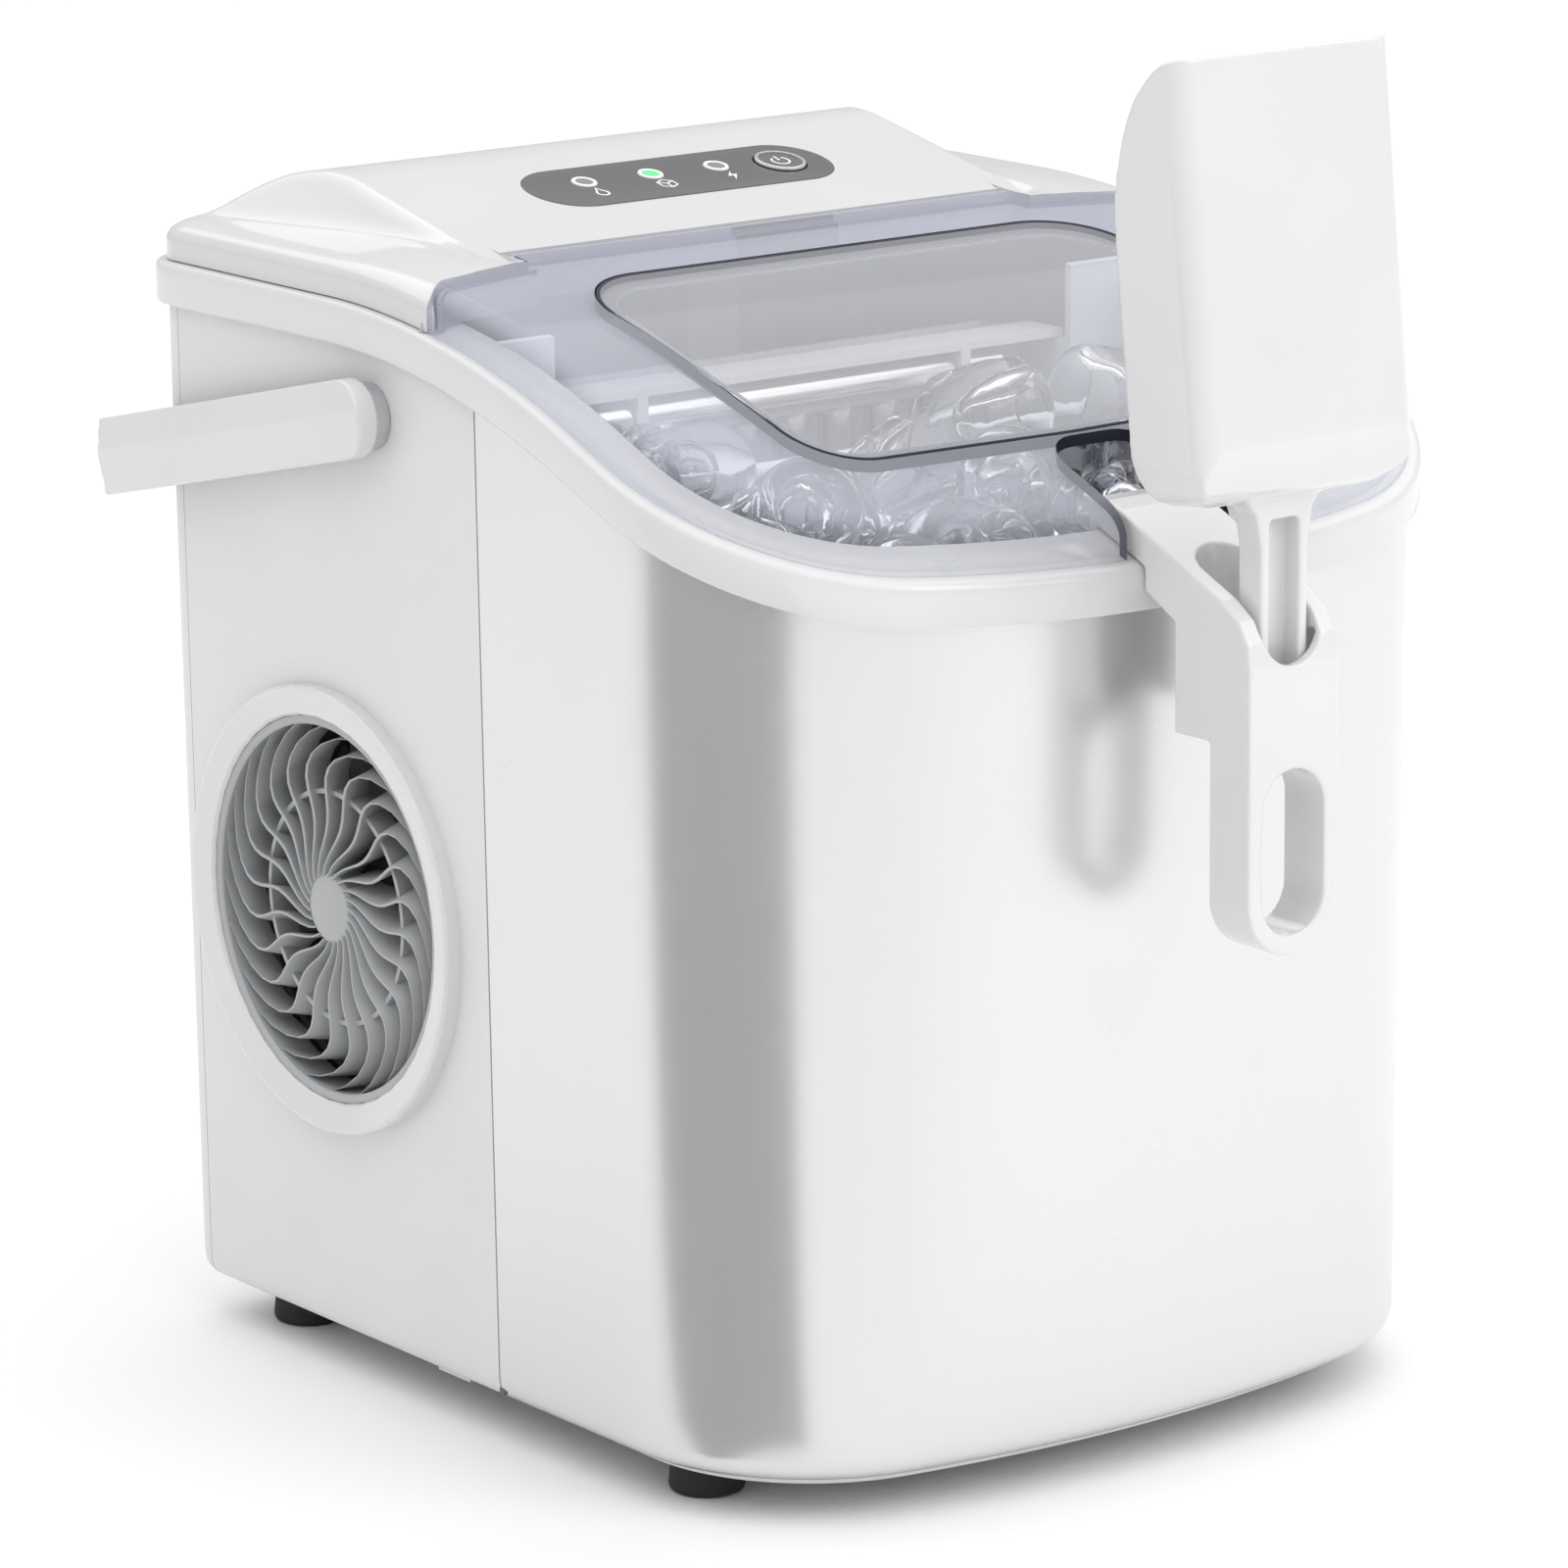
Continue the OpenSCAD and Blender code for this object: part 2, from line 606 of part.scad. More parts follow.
// ---- Refrigeration ----
leg_angles = [0, 120, 240];
module compressor() placed() color([0.12, 0.12, 0.13]) {
    translate([comp_x, comp_y, 0]) rotate_extrude() polygon([[0, 24], [34, 24], [comp_r, 34], [comp_r, 104],
        [comp_r - 4, 118], [28, 130], [0, 134]]);
    difference() {
        for (a = leg_angles)
            translate([comp_x, comp_y, 0]) rotate([0, 0, a]) block([20, 54], [-9, 9], [21, 25]);
        for (a = leg_angles)
            rod_z(4.2, comp_x + 46 * cos(a), comp_y + 46 * sin(a), [10, 30]);
    }
    translate([comp_x - comp_r - 6, comp_y - 12, 70]) cube([10, 24, 30]);
}
module compressor_grommets() placed() color([0.08, 0.08, 0.08]) for (a = leg_angles)
    let (x = comp_x + 46 * cos(a), y = comp_y + 46 * sin(a)) {
        rod_z(7, x, y, [wall_z + 0.1, 20.9]);
        rod_z(4, x, y, [20.8, 26]);
        rod_z(6, x, y, [25.1, 28]);
    }
fin_x = [-58, -40];
coil_rows = [[-53, 20], [-45, 31], [-53, 42], [-45, 53], [-53, 64], [-45, 75], [-53, 86]];
module condenser_fins() placed() color([0.8, 0.81, 0.83]) difference() {
    for (i = [0:16])
        block(fin_x, [11, 97], [76 + i * 5, 76.8 + i * 5]);
    for (p = coil_rows)
        rod_z(3.15, p[0], p[1], [60, 180]);
}
module condenser_coil() placed() color(copper) for (i = [0:6]) {
    p = coil_rows[i];
    rod_z(3, p[0], p[1], [70, 164]);
    translate([p[0], p[1], 164]) sphere(r = 3.25);
    translate([p[0], p[1], 70]) sphere(r = 3.25);
    if (i < 6)
        pipe([concat(p, [i % 2 == 0 ? 164 : 70]), concat(coil_rows[i + 1], [i % 2 == 0 ? 164 : 70])], 3);
}
module condenser_fan() placed() color([0.2, 0.2, 0.22]) translate([fan_x, vent_y, vent_z]) difference() {
    union() {
        rotate([0, 90, 0]) cylinder(r = fan_hub_r, h = fan_depth);
        for (i = [0:6])
            rotate([i * 360 / 7, 0, 0]) translate([fan_depth / 2, 0, fan_hub_r - 1]) rotate([0, 0, 32])
                translate([-0.8, -8.5, 0]) cube([1.6, 17, fan_r - fan_hub_r - 1]);
    }
    translate([3, 0, 0]) rotate([0, 90, 0]) cylinder(r = motor_shaft_r + running_gap, h = fan_depth);
}
module fan_motor() placed() color([0.35, 0.35, 0.37]) {
    rod_x(15, [-83.8, -63], vent_y, vent_z);
    rod_x(motor_shaft_r, [-95.8, -83], vent_y, vent_z);
}
module fan_shroud() placed() color([0.3, 0.3, 0.32]) {
    difference() {
        rod_x(45, [-101, -82], vent_y, vent_z);
        rod_x(42.5, [-102, -81], vent_y, vent_z);
    }
    difference() {
        for (a = [45:90:315])
            translate([-86, vent_y, vent_z]) rotate([a, 0, 0]) block([0, 2], [-3, 3], [14, 44]);
        rod_x(15, [-87, -80], vent_y, vent_z);
    }
    difference() {
        rod_x(18, [-86, -84], vent_y, vent_z);
        rod_x(15.1, [-87, -83], vent_y, vent_z);
    }
    block([-98, -86], [6.6, 10.2], [110, 126]);
}
module filter_drier() placed() color(copper) {
    rod_z(8, -22, 110, [70, 120]);
    rod_z(3, -22, 110, [62, 128]);
}
module hot_gas_valve() placed() color([0.15, 0.2, 0.35]) {
    block([-12, 10], [44, 62], [166, 186]);
    rod_z(5, -1, 53, [156, 192]);
}
module suction_line() placed() color(copper)
    tube([[60, tray_y + 6.2, manifold_z], [60, 50, manifold_z], [88, 66, 224], [88, 104, 150], [88, 104, 86],
          [79, 107, 74], [72.6, 100.6, 74]], 3);
module discharge_line() placed() color(copper)
    tube([[comp_x - 20, comp_y, 133], [comp_x - 20, comp_y, 146], [-30, 90, 152], [-36, 96, 176],
          [-53, 86, 178], [-53, 86, 167.5]], 2.5);
module liquid_line() placed() color(copper) {
    tube([[-53, 20, 66.5], [-53, 20, 56], [-30, 64, 54], [-22, 110, 50], [-22, 110, 61.8]], 2.2);
    tube([[-22, 110, 128.2], [-22, 110, 150], [-70, 108, 190], [-66, 60, manifold_z],
          [-60, 44, manifold_z], [-60, tray_y + 6.2, manifold_z]], 1.6);
}
module hot_gas_line() placed() color(copper) {
    tube([[comp_x - 10, comp_y - 24, 131.4], [comp_x - 10, comp_y - 24, 148], [8, 53, 150], [-1, 53, 146],
          [-1, 53, 155.8]], 2.2);
    tube([[-1, 53, 192.2], [-1, 53, 230], [hot_gas_x, 50, manifold_z], [hot_gas_x, tray_y + 6.2, manifold_z]], 2.2);
}

// ---- Electronics ----
module board_tray() placed() color([0.9, 0.9, 0.88]) difference() {
    block([4, 80], [66, 120], [196, 206]);
    block([6, 78], [68, 118], [198, 210]);
}
module power_board() placed() color([0.12, 0.38, 0.22]) {
    block([8, 76], [78, 116], [199, 200.6]);
    block([40, 58], [84, 100], [200.5, 216]);
    block([62, 74], [84, 110], [200.5, 212]);
    rod_z(6, 28, 92, [200.5, 222]);
    block([12, 32], [102, 112], [200.5, 210]);
}

// ---- Vent grilles: thin S-shaped vanes between a hub and an outer ring ----
grille_x = [-half_w + 0.2, -half_w + 9];
vane_t = 1.5;
hub_r = 9;
function vane_angle(t) = 62 * t + 12 * sin(360 * t);
function vane_side(s) = [for (i = [0:10])
    let (r = hub_r - 1 + (vent_r - 1 - hub_r) * i / 10, a = vane_angle(i / 10) + s * vane_t / 2 / r * 180 / PI)
        [r * cos(a), r * sin(a)]];
module ring_x(r_out, r_in, x) difference() {
    rod_x(r_out, x, 0, 0);
    rod_x(r_in, [x[0] - 1, x[1] + 1], 0, 0);
}
module vent_grille() translate([0, vent_y, vent_z]) {
    ring_x(vent_r - 0.2, vent_r - 2.2, [-half_w - 1, grille_x[1]]);
    ring_x(29, 27.8, [grille_x[0] + 2, grille_x[1]]);
    rod_x(hub_r, [grille_x[0], grille_x[1] - 4], 0, 0);
    for (i = [0:vane_count - 1])
        rotate([i * 360 / vane_count, 0, 0]) across(concat(vane_side(1), reversed(vane_side(-1))), grille_x);
}
module left_vent_grille() placed() color([0.72, 0.73, 0.74]) vent_grille();
module right_vent_grille() placed() color([0.72, 0.73, 0.74]) mirror([1, 0, 0]) vent_grille();

// ---- Carry handle ----
module carry_handle() placed() color(shell_white)
    translate([0, handle_y, handle_z]) rotate([-handle_droop, 0, 0]) {
        both_sides() difference() {
            union() {
                rod_x(arm_half_h, [arm_in, arm_in + arm_t], 0, 0);
                block([arm_in, arm_in + arm_t], [0, handle_reach + 1], [-arm_half_h, arm_half_h]);
            }
            rod_x(pivot_pin_r + running_gap, [arm_in - 1, arm_in + 4], 0, 0);
        }
        block([-arm_in - arm_t, arm_in + arm_t], [handle_reach, grip_far], [-arm_half_h, arm_half_h]);
    }
module handle_pivots() placed() color(steel) both_sides() {
    rod_x(8, [half_w + 0.15, arm_in - 0.25], handle_y, handle_z);
    rod_x(pivot_pin_r, [half_w - 6, arm_in + 3.7], handle_y, handle_z);
    rod_x(7, [half_w - 6, half_w - panel_t - 0.15], handle_y, handle_z);
}

// ---- Scoop and its holder ----
hook_out_y = -half_d - rim_proud - gap;
holder_outer = concat([[-108.5, 206], [-108.5, 230.5], [-120, 229]],
    [[-155, 214], [-161, 210], [-164.2, 205], [holder_front_y, 199]], [[holder_front_y, 100]]);
function hook_z(y) = deck(y) + rim_h + gap;
holder_inner = [[holder_front_y + holder_depth, 100], [holder_front_y + holder_depth, 200],
    [hook_out_y, 212], [hook_out_y, hook_z(hook_out_y)], [-111.4, hook_z(-111.4)], [-111.4, 206]];
module holder_tongue(hw, y, top) translate([scoop_x, 0, 0]) {
    block([-hw, hw], y, [holder_tip_z + holder_hw, top]);
    rod_y(hw, 0, y, holder_tip_z + holder_hw);
}
module scoop_holder() placed() color([0.95, 0.95, 0.95]) {
    difference() {
        intersection() {
            across(concat(holder_outer, holder_inner), [scoop_x - holder_hw, scoop_x + holder_hw]);
            holder_tongue(holder_hw, [-200, 0], 260);
        }
        // Opening for the scoop's grip, from the sloping strip round the bend
        translate([scoop_x, 0, 0]) {
            block([-holder_slot_hw, holder_slot_hw], [-200, -144], [207.5, 240]);
            rod_z(holder_slot_hw, 0, -144, [190, 240]);
            rod_y(holder_slot_hw, 0, [-200, -153], 207.5);
            // Pocket behind the front wall
            block([-10.3, 10.3], [holder_front_y + 3, -130], [180, 206]);
        }
        // Lower slot with round ends
        translate([scoop_x, 0, 0]) {
            block([-9.6, 9.6], [-200, -100], [holder_tip_z + 14, 166]);
            rod_y(9.6, 0, [-200, -100], holder_tip_z + 14);
            rod_y(9.6, 0, [-200, -100], 166);
        }
    }
    // Stand-off ribs that keep the strip upright against the front panel
    for (x = [scoop_x - holder_hw, scoop_x + holder_hw - 3])
        block([x, x + 3], [holder_front_y + holder_depth - 1, -139], [181, 206]);
}

function bowl_plan(t) = concat([[-bowl_hw + t, bowl_depth + 1]], arc(-bowl_hw + 6.5, 5.5, 5.5 - t, 184, 270, 4),
    arc(bowl_hw - 6.5, 5.5, 5.5 - t, 270, 356, 4), [[bowl_hw - t, bowl_depth + 1]]);
module bowl_form(t) intersection() {
    translate([0, 0, t]) linear_extrude(bowl_h + 10) polygon(bowl_plan(t));
    across(concat(arc(14, 14, 14 - t, 270, 180, 4), [[t, bowl_h + t * 5]],
        t > 0 ? [[bowl_depth + 5, bowl_h + 11], [bowl_depth + 5, t]] :
        [for (i = [0:8]) [bowl_depth * sin(i * 90 / 8), 60 + (bowl_h - 60) * cos(i * 90 / 8)]],
        t > 0 ? [] : [[bowl_depth, 0]]), [-60, 60]);
    along(concat([[-60, 120], [-bowl_hw + t, 120]], arc(-bowl_hw + 14, 14, 14 - t, 180, 270, 4),
        arc(bowl_hw - 14, 14, 14 - t, 270, 360, 4), [[bowl_hw - t, 120]]), [-5, 60]);
}
module scoop() placed() color([0.96, 0.96, 0.96]) translate([scoop_x, 0, 0]) {
    translate([0, bowl_front_y, bowl_z]) rotate([-bowl_lean, 0, 0]) difference() {
        bowl_form(0);
        bowl_form(bowl_wall);
    }
    difference() {
        union() {
            block([-7, 7], scoop_grip_y, [190, bowl_z + 1.4]);
            rod_y(7, 0, scoop_grip_y, 190);
        }
        block([-4.2, 4.2], [-200, -156.2], [190, bowl_z - 2]);
        rod_y(4.2, 0, [-200, -156.2], 190);
    }
}

// ---- Drain and cord entry ----
module drain_spout() placed() color([0.85, 0.87, 0.88]) difference() {
    union() {
        rod_y(5.2, drain_x, [4.3, 132], drain_z);
        rod_y(8, drain_x, [118, half_d - panel_t - 0.2], drain_z);
    }
    rod_y(3.6, drain_x, [3, 140], drain_z);
}
module drain_cap() placed() color([0.2, 0.2, 0.22]) difference() {
    union() {
        rod_y(9, drain_x, [half_d + 0.4, 135], drain_z);
        block([drain_x - 1.5, drain_x + 1.5], [134, 136.5], [drain_z - 8, drain_z + 8]);
    }
    rod_y(5.25, drain_x, [100, 132.4], drain_z);
}
module cord_gland() placed() color([0.1, 0.1, 0.1]) difference() {
    union() {
        rod_y(7, cord_x, [half_d - 8, half_d + 8], cord_z);
        rod_y(10, cord_x, [half_d + 0.1, half_d + 3], cord_z);
        rod_y(9.5, cord_x, [half_d - 8, half_d - panel_t - 0.1], cord_z);
    }
    rod_y(cord_bore_r, cord_x, [100, 150], cord_z);
}

base_pan();
feet();
front_wrap();
left_side_panel();
right_side_panel();
rear_panel();
top_rim();
top_cover();
control_panel();
power_button();
lens_add_water();
lens_ice_full();
lens_power();
control_board();
panel_cable();
lid();
lid_window();
lid_hinge_pins();
inner_liner();
insulation();
bulkhead();
ice_basket();
evaporator();
evaporator_plate();
water_tray();
tray_motor();
ice_pusher();
ice_full_sensors();
water_pump();
pump_hose();
water_level_sensor();
compressor();
compressor_grommets();
condenser_fins();
condenser_coil();
condenser_fan();
fan_motor();
fan_shroud();
left_vent_grille();
right_vent_grille();
suction_line();
discharge_line();
liquid_line();
hot_gas_line();
filter_drier();
hot_gas_valve();
board_tray();
power_board();
carry_handle();
handle_pivots();
scoop_holder();
scoop();
drain_spout();
drain_cap();
cord_gland();
rear_screws();
base_screws();
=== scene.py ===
import json
import math
import random

import bpy
import bmesh
from mathutils import Matrix, Vector


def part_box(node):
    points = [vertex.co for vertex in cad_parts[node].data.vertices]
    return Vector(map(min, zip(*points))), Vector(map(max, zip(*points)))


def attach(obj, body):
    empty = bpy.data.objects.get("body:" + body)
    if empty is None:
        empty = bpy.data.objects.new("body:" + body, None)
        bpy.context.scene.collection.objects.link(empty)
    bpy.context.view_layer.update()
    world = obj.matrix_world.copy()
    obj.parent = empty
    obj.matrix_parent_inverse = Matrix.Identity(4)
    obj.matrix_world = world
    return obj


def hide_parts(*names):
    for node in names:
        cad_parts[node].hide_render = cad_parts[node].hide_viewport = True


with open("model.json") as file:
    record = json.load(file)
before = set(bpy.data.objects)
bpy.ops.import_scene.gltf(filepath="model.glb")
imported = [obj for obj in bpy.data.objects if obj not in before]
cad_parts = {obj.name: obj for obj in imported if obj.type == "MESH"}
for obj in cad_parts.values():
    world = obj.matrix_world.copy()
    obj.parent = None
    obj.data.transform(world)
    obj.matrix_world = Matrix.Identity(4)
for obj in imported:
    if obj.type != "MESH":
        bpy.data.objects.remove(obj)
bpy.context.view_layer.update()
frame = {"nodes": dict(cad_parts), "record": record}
scene = bpy.context.scene
MM = 0.001

# ---- Shared measures, in millimetres about the middle of the body ----
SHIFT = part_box("front_wrap")[0].y / MM + 125.0
HALF_W = 111.0
HALF_D = 125.0
WALL_Z = 10.0
DECK_Z = 257.5
FLAT_Y = 48.0
BEND_R = 260.0
SLOPE = math.radians(22)
RIM_H = 10.5
LID_RISE = 21.0
SEAM_Y = -12.0
REAR_SEAM_Y = 113.0
CORNER_R = 56.0
CORNER_X = 55.0
CORNER_Y = -63.6
BOW_R = 338.4
BOW_Y = 213.4
BOW_ANGLE = math.degrees(math.atan2(CORNER_X, BOW_Y - CORNER_Y))
REAR_R = 12.0
VENT = (54.0, 118.0)
VENT_R = 47.5
HINGE = (24.0, 274.0)
FACE_START = (27.3, 277.0)
FACE_SLOPE = math.atan2(13.0, 86.0 - 27.3)
PANEL_X = 1.0
PANEL_UP = 32.5
SCOOP_X = 4.5


def place(x, y, z):
    """A point in body millimetres as a point of the frame, in metres."""
    return Vector((x, y + SHIFT, z)) * MM


def deck(y):
    """Height of the rim's lower edge at y."""
    bend_end_y = FLAT_Y - BEND_R * math.sin(SLOPE)
    if y >= FLAT_Y:
        return DECK_Z
    if y >= bend_end_y:
        return DECK_Z - BEND_R + math.sqrt(BEND_R ** 2 - (FLAT_Y - y) ** 2)
    return DECK_Z - BEND_R * (1 - math.cos(SLOPE)) - math.tan(SLOPE) * (bend_end_y - y)


def arc(cx, cy, r, a0, a1, n):
    """Points of an arc, both ends included, angles in degrees."""
    angles = [math.radians(a0 + (a1 - a0) * i / n) for i in range(n + 1)]
    return [(cx + r * math.cos(a), cy + r * math.sin(a)) for a in angles]


def line(a, b, n):
    """Points from a to b, both ends included."""
    return [(a[0] + (b[0] - a[0]) * i / n, a[1] + (b[1] - a[1]) * i / n) for i in range(n + 1)]


def front_path(g, y_end, side_steps=26):
    """Plan outline grown by g, from the left side at y_end round the front to the right side."""
    r = CORNER_R + g
    left = line((-HALF_W - g, y_end), (-HALF_W - g, CORNER_Y), side_steps)[:-1]
    corner = arc(-CORNER_X, CORNER_Y, r, 180, 270 - BOW_ANGLE, 22)[:-1]
    bow = arc(0, BOW_Y, BOW_R + g, 270 - BOW_ANGLE, 270, 16)
    half = left + corner + bow
    return half + [(-x, y) for x, y in reversed(half[:-1])]


def rear_path(g, y_start, flat_steps=24):
    """Plan outline grown by g, from the left side at y_start round the back to the right side."""
    r = max(REAR_R + g, 1.0)
    cx = HALF_W + g - r
    cy = HALF_D + g - r
    left = [(-HALF_W - g, y_start)] + arc(-cx, cy, r, 180, 90, 8)
    return left + line((-cx, cy + r), (cx, cy + r), flat_steps)[1:-1] + [(-x, y) for x, y in reversed(left)]


def full_path(g):
    """The whole plan outline grown by g."""
    back = rear_path(g, 100)
    return front_path(g, 100, 60)[:-1] + list(reversed(back))[:-1]


# ---- Mesh helpers ----
def make(name, verts, faces, material, sharp=38):
    """A mesh object from points in body millimetres, smooth except at sharp edges."""
    mesh = bpy.data.meshes.new(name)
    mesh.from_pydata([place(*v) for v in verts], [], faces)
    bm = bmesh.new()
    bm.from_mesh(mesh)
    bmesh.ops.remove_doubles(bm, verts=bm.verts, dist=2e-6)
    bmesh.ops.recalc_face_normals(bm, faces=bm.faces)
    bm.to_mesh(mesh)
    bm.free()
    obj = bpy.data.objects.new(name, mesh)
    scene.collection.objects.link(obj)
    mesh.materials.append(material)
    shade(obj, sharp)
    return obj


def shade(obj, sharp=38):
    """Smooth shading with sharp edges above an angle."""
    obj.data.shade_smooth()
    obj.data.set_sharp_from_angle(angle=math.radians(sharp))


def loft(name, rings, material, closed_ring=True, closed_path=False, caps=True, sharp=38):
    """Skin over rings that have the same number of points."""
    n = len(rings[0])
    verts = [p for ring in rings for p in ring]
    faces = []
    for i in range(len(rings) if closed_path else len(rings) - 1):
        a = i * n
        b = ((i + 1) % len(rings)) * n
        for k in range(n if closed_ring else n - 1):
            m = (k + 1) % n
            faces.append((a + k, a + m, b + m, b + k))
    if caps and not closed_path:
        faces.append(tuple(range(n)))
        faces.append(tuple((len(rings) - 1) * n + k for k in range(n)))
    return make(name, verts, faces, material, sharp)


def prism(points, axis, low, high, material, name="tool"):
    """A plan polygon carried along an axis: x takes (y, z) points, y takes (x, z), z takes (x, y)."""
    def spot(p, h):
        return {"x": (h, p[0], p[1]), "y": (p[0], h, p[1]), "z": (p[0], p[1], h)}[axis]
    rings = [[spot(p, h) for p in points] for h in (low, high)]
    return loft(name, rings, material)


def box_points(x, y):
    """Corners of a rectangle."""
    return [(x[0], y[0]), (x[1], y[0]), (x[1], y[1]), (x[0], y[1])]


def lathe(name, profile, centre, axis, material, steps=64, sharp=38):
    """A profile of (radius, height) pairs turned about a line through centre."""
    rings = []
    for r, h in profile:
        ring = []
        for i in range(steps):
            a = 2 * math.pi * i / steps
            u = max(r, 0.0) * math.cos(a)
            v = max(r, 0.0) * math.sin(a)
            turned = {"x": (h, u, v), "y": (u, h, v), "z": (u, v, h)}[axis]
            ring.append(tuple(c + t for c, t in zip(centre, turned)))
        rings.append(ring)
    return loft(name, rings, material, caps=False, sharp=sharp)


def bake(obj):
    """Applies the modifiers of an object."""
    graph = bpy.context.evaluated_depsgraph_get()
    mesh = bpy.data.meshes.new_from_object(obj.evaluated_get(graph))
    obj.modifiers.clear()
    obj.data = mesh


def combine(obj, tool, operation="DIFFERENCE"):
    """Boolean with a tool, which is then removed."""
    mod = obj.modifiers.new("combine", "BOOLEAN")
    mod.operation = operation
    mod.solver = "EXACT"
    mod.object = tool
    bake(obj)
    bpy.data.objects.remove(tool)
    return obj


def soften(obj, voxel, rounds, sharp=180):
    """Even small quads with every edge rounded, as on a moulding."""
    mod = obj.modifiers.new("even", "REMESH")
    mod.mode = "VOXEL"
    mod.voxel_size = voxel * MM
    smooth = obj.modifiers.new("soften", "SMOOTH")
    smooth.factor = 0.5
    smooth.iterations = rounds
    bake(obj)
    shade(obj, sharp)
    return obj


def join(name, objs):
    """One object from several."""
    bm = bmesh.new()
    materials = []
    for o in objs:
        for m in o.data.materials:
            if m not in materials:
                materials.append(m)
    for o in objs:
        start = len(bm.faces)
        bm.from_mesh(o.data)
        bm.faces.ensure_lookup_table()
        for f in bm.faces[start:]:
            f.material_index = materials.index(o.data.materials[f.material_index])
    mesh = bpy.data.meshes.new(name)
    bm.to_mesh(mesh)
    bm.free()
    for m in materials:
        mesh.materials.append(m)
    for o in objs:
        bpy.data.objects.remove(o)
    obj = bpy.data.objects.new(name, mesh)
    scene.collection.objects.link(obj)
    return obj


def settle(obj, body, nodes=()):
    """Hangs a piece on its body, in place of its nodes."""
    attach(obj, body)
    if nodes:
        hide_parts(*nodes)
    return obj


# ---- Materials ----
def finish_of(name, colour, rough, metallic=0.0, grain=900.0, bump=0.02, vary=0.03, coat=0.0,
              transmission=0.0, ior=1.47, alpha=None, specular=0.5, glow=None):
    """A Principled finish with fine procedural variation in colour, gloss and surface."""
    mat = bpy.data.materials.new(name)
    mat.use_nodes = True
    tree = mat.node_tree
    nodes = tree.nodes
    links = tree.links
    shader = nodes["Principled BSDF"]
    coords = nodes.new("ShaderNodeTexCoord")
    mapping = nodes.new("ShaderNodeMapping")
    links.new(coords.outputs["Object"], mapping.inputs["Vector"])
    broad = nodes.new("ShaderNodeTexNoise")
    broad.inputs["Scale"].default_value = grain * 0.03
    broad.inputs["Detail"].default_value = 3.0
    fine = nodes.new("ShaderNodeTexNoise")
    fine.inputs["Scale"].default_value = grain
    fine.inputs["Detail"].default_value = 2.0
    for tex in (broad, fine):
        links.new(mapping.outputs["Vector"], tex.inputs["Vector"])
    ramp = nodes.new("ShaderNodeValToRGB")
    ramp.color_ramp.elements[0].position = 0.3
    ramp.color_ramp.elements[1].position = 0.7
    ramp.color_ramp.elements[0].color = [c * (1 - vary) for c in colour] + [1]
    ramp.color_ramp.elements[1].color = list(colour) + [1]
    links.new(broad.outputs["Fac"], ramp.inputs["Fac"])
    links.new(ramp.outputs["Color"], shader.inputs["Base Color"])
    gloss = nodes.new("ShaderNodeMapRange")
    gloss.inputs["To Min"].default_value = max(rough * 0.88, 0.0)
    gloss.inputs["To Max"].default_value = min(rough * 1.12, 1.0)
    links.new(fine.outputs["Fac"], gloss.inputs["Value"])
    links.new(gloss.outputs["Result"], shader.inputs["Roughness"])
    relief = nodes.new("ShaderNodeBump")
    relief.inputs["Strength"].default_value = bump
    relief.inputs["Distance"].default_value = 0.0002
    links.new(fine.outputs["Fac"], relief.inputs["Height"])
    links.new(relief.outputs["Normal"], shader.inputs["Normal"])
    shader.inputs["Metallic"].default_value = metallic
    shader.inputs["IOR"].default_value = ior
    shader.inputs["Specular IOR Level"].default_value = specular
    shader.inputs["Transmission Weight"].default_value = transmission
    shader.inputs["Coat Weight"].default_value = coat
    shader.inputs["Coat Roughness"].default_value = 0.08
    if glow:
        shader.inputs["Emission Color"].default_value = list(colour) + [1]
        shader.inputs["Emission Strength"].default_value = glow
    if alpha:
        edge = nodes.new("ShaderNodeLayerWeight")
        edge.inputs["Blend"].default_value = 0.35
        see = nodes.new("ShaderNodeMapRange")
        see.inputs["To Min"].default_value = alpha[0]
        see.inputs["To Max"].default_value = alpha[1]
        links.new(edge.outputs["Facing"], see.inputs["Value"])
        links.new(see.outputs["Result"], shader.inputs["Alpha"])
    return mat


white = finish_of("moulded_white", (0.72, 0.72, 0.722), 0.22, coat=0.3)
gloss_white = finish_of("gloss_white", (0.74, 0.74, 0.74), 0.14, coat=0.5, bump=0.01)
side_white = finish_of("side_white", (0.74, 0.74, 0.743), 0.34)
silver = finish_of("silver_front", (0.74, 0.74, 0.743), 0.26, metallic=0.8, grain=60.0, vary=0.01, bump=0.0)
cover_grey = finish_of("cover_grey", (0.66, 0.66, 0.67), 0.16, coat=0.6, bump=0.01)
grille_grey = finish_of("grille_grey", (0.42, 0.43, 0.44), 0.32)
panel_dark = finish_of("panel_dark", (0.085, 0.086, 0.09), 0.3, bump=0.01)
button_dark = finish_of("button_dark", (0.1, 0.1, 0.105), 0.28)
ring_metal = finish_of("ring_metal", (0.7, 0.7, 0.72), 0.2, metallic=0.9)
print_white = finish_of("print_white", (0.88, 0.88, 0.88), 0.45)
lamp_clear = finish_of("lamp_clear", (0.2, 0.2, 0.21), 0.12, coat=0.6)
lamp_green = finish_of("lamp_green", (0.05, 0.75, 0.12), 0.2, glow=1.6)
smoke = finish_of("lid_smoke", (0.66, 0.68, 0.78), 0.05, bump=0.0, alpha=(0.1, 0.62))
window_clear = finish_of("window_clear", (0.86, 0.87, 0.92), 0.03, bump=0.0, alpha=(0.03, 0.45))
# Painted shade: near-black for the cut edges of the clear lid and window, where clear plastic shows a dark
# edge.
clear_edge_shade = finish_of("clear_edge_painted_shade", (0.012, 0.013, 0.028), 0.3, bump=0.0, specular=0.15)
# The lid's smoke tint, made darker and denser on edges and on the window's inner line: the extra darkening is
# painted shade.
smoke_edge_shade = finish_of("smoke_edge_shade", (0.16, 0.17, 0.26), 0.1, bump=0.0, alpha=(0.75, 0.95))
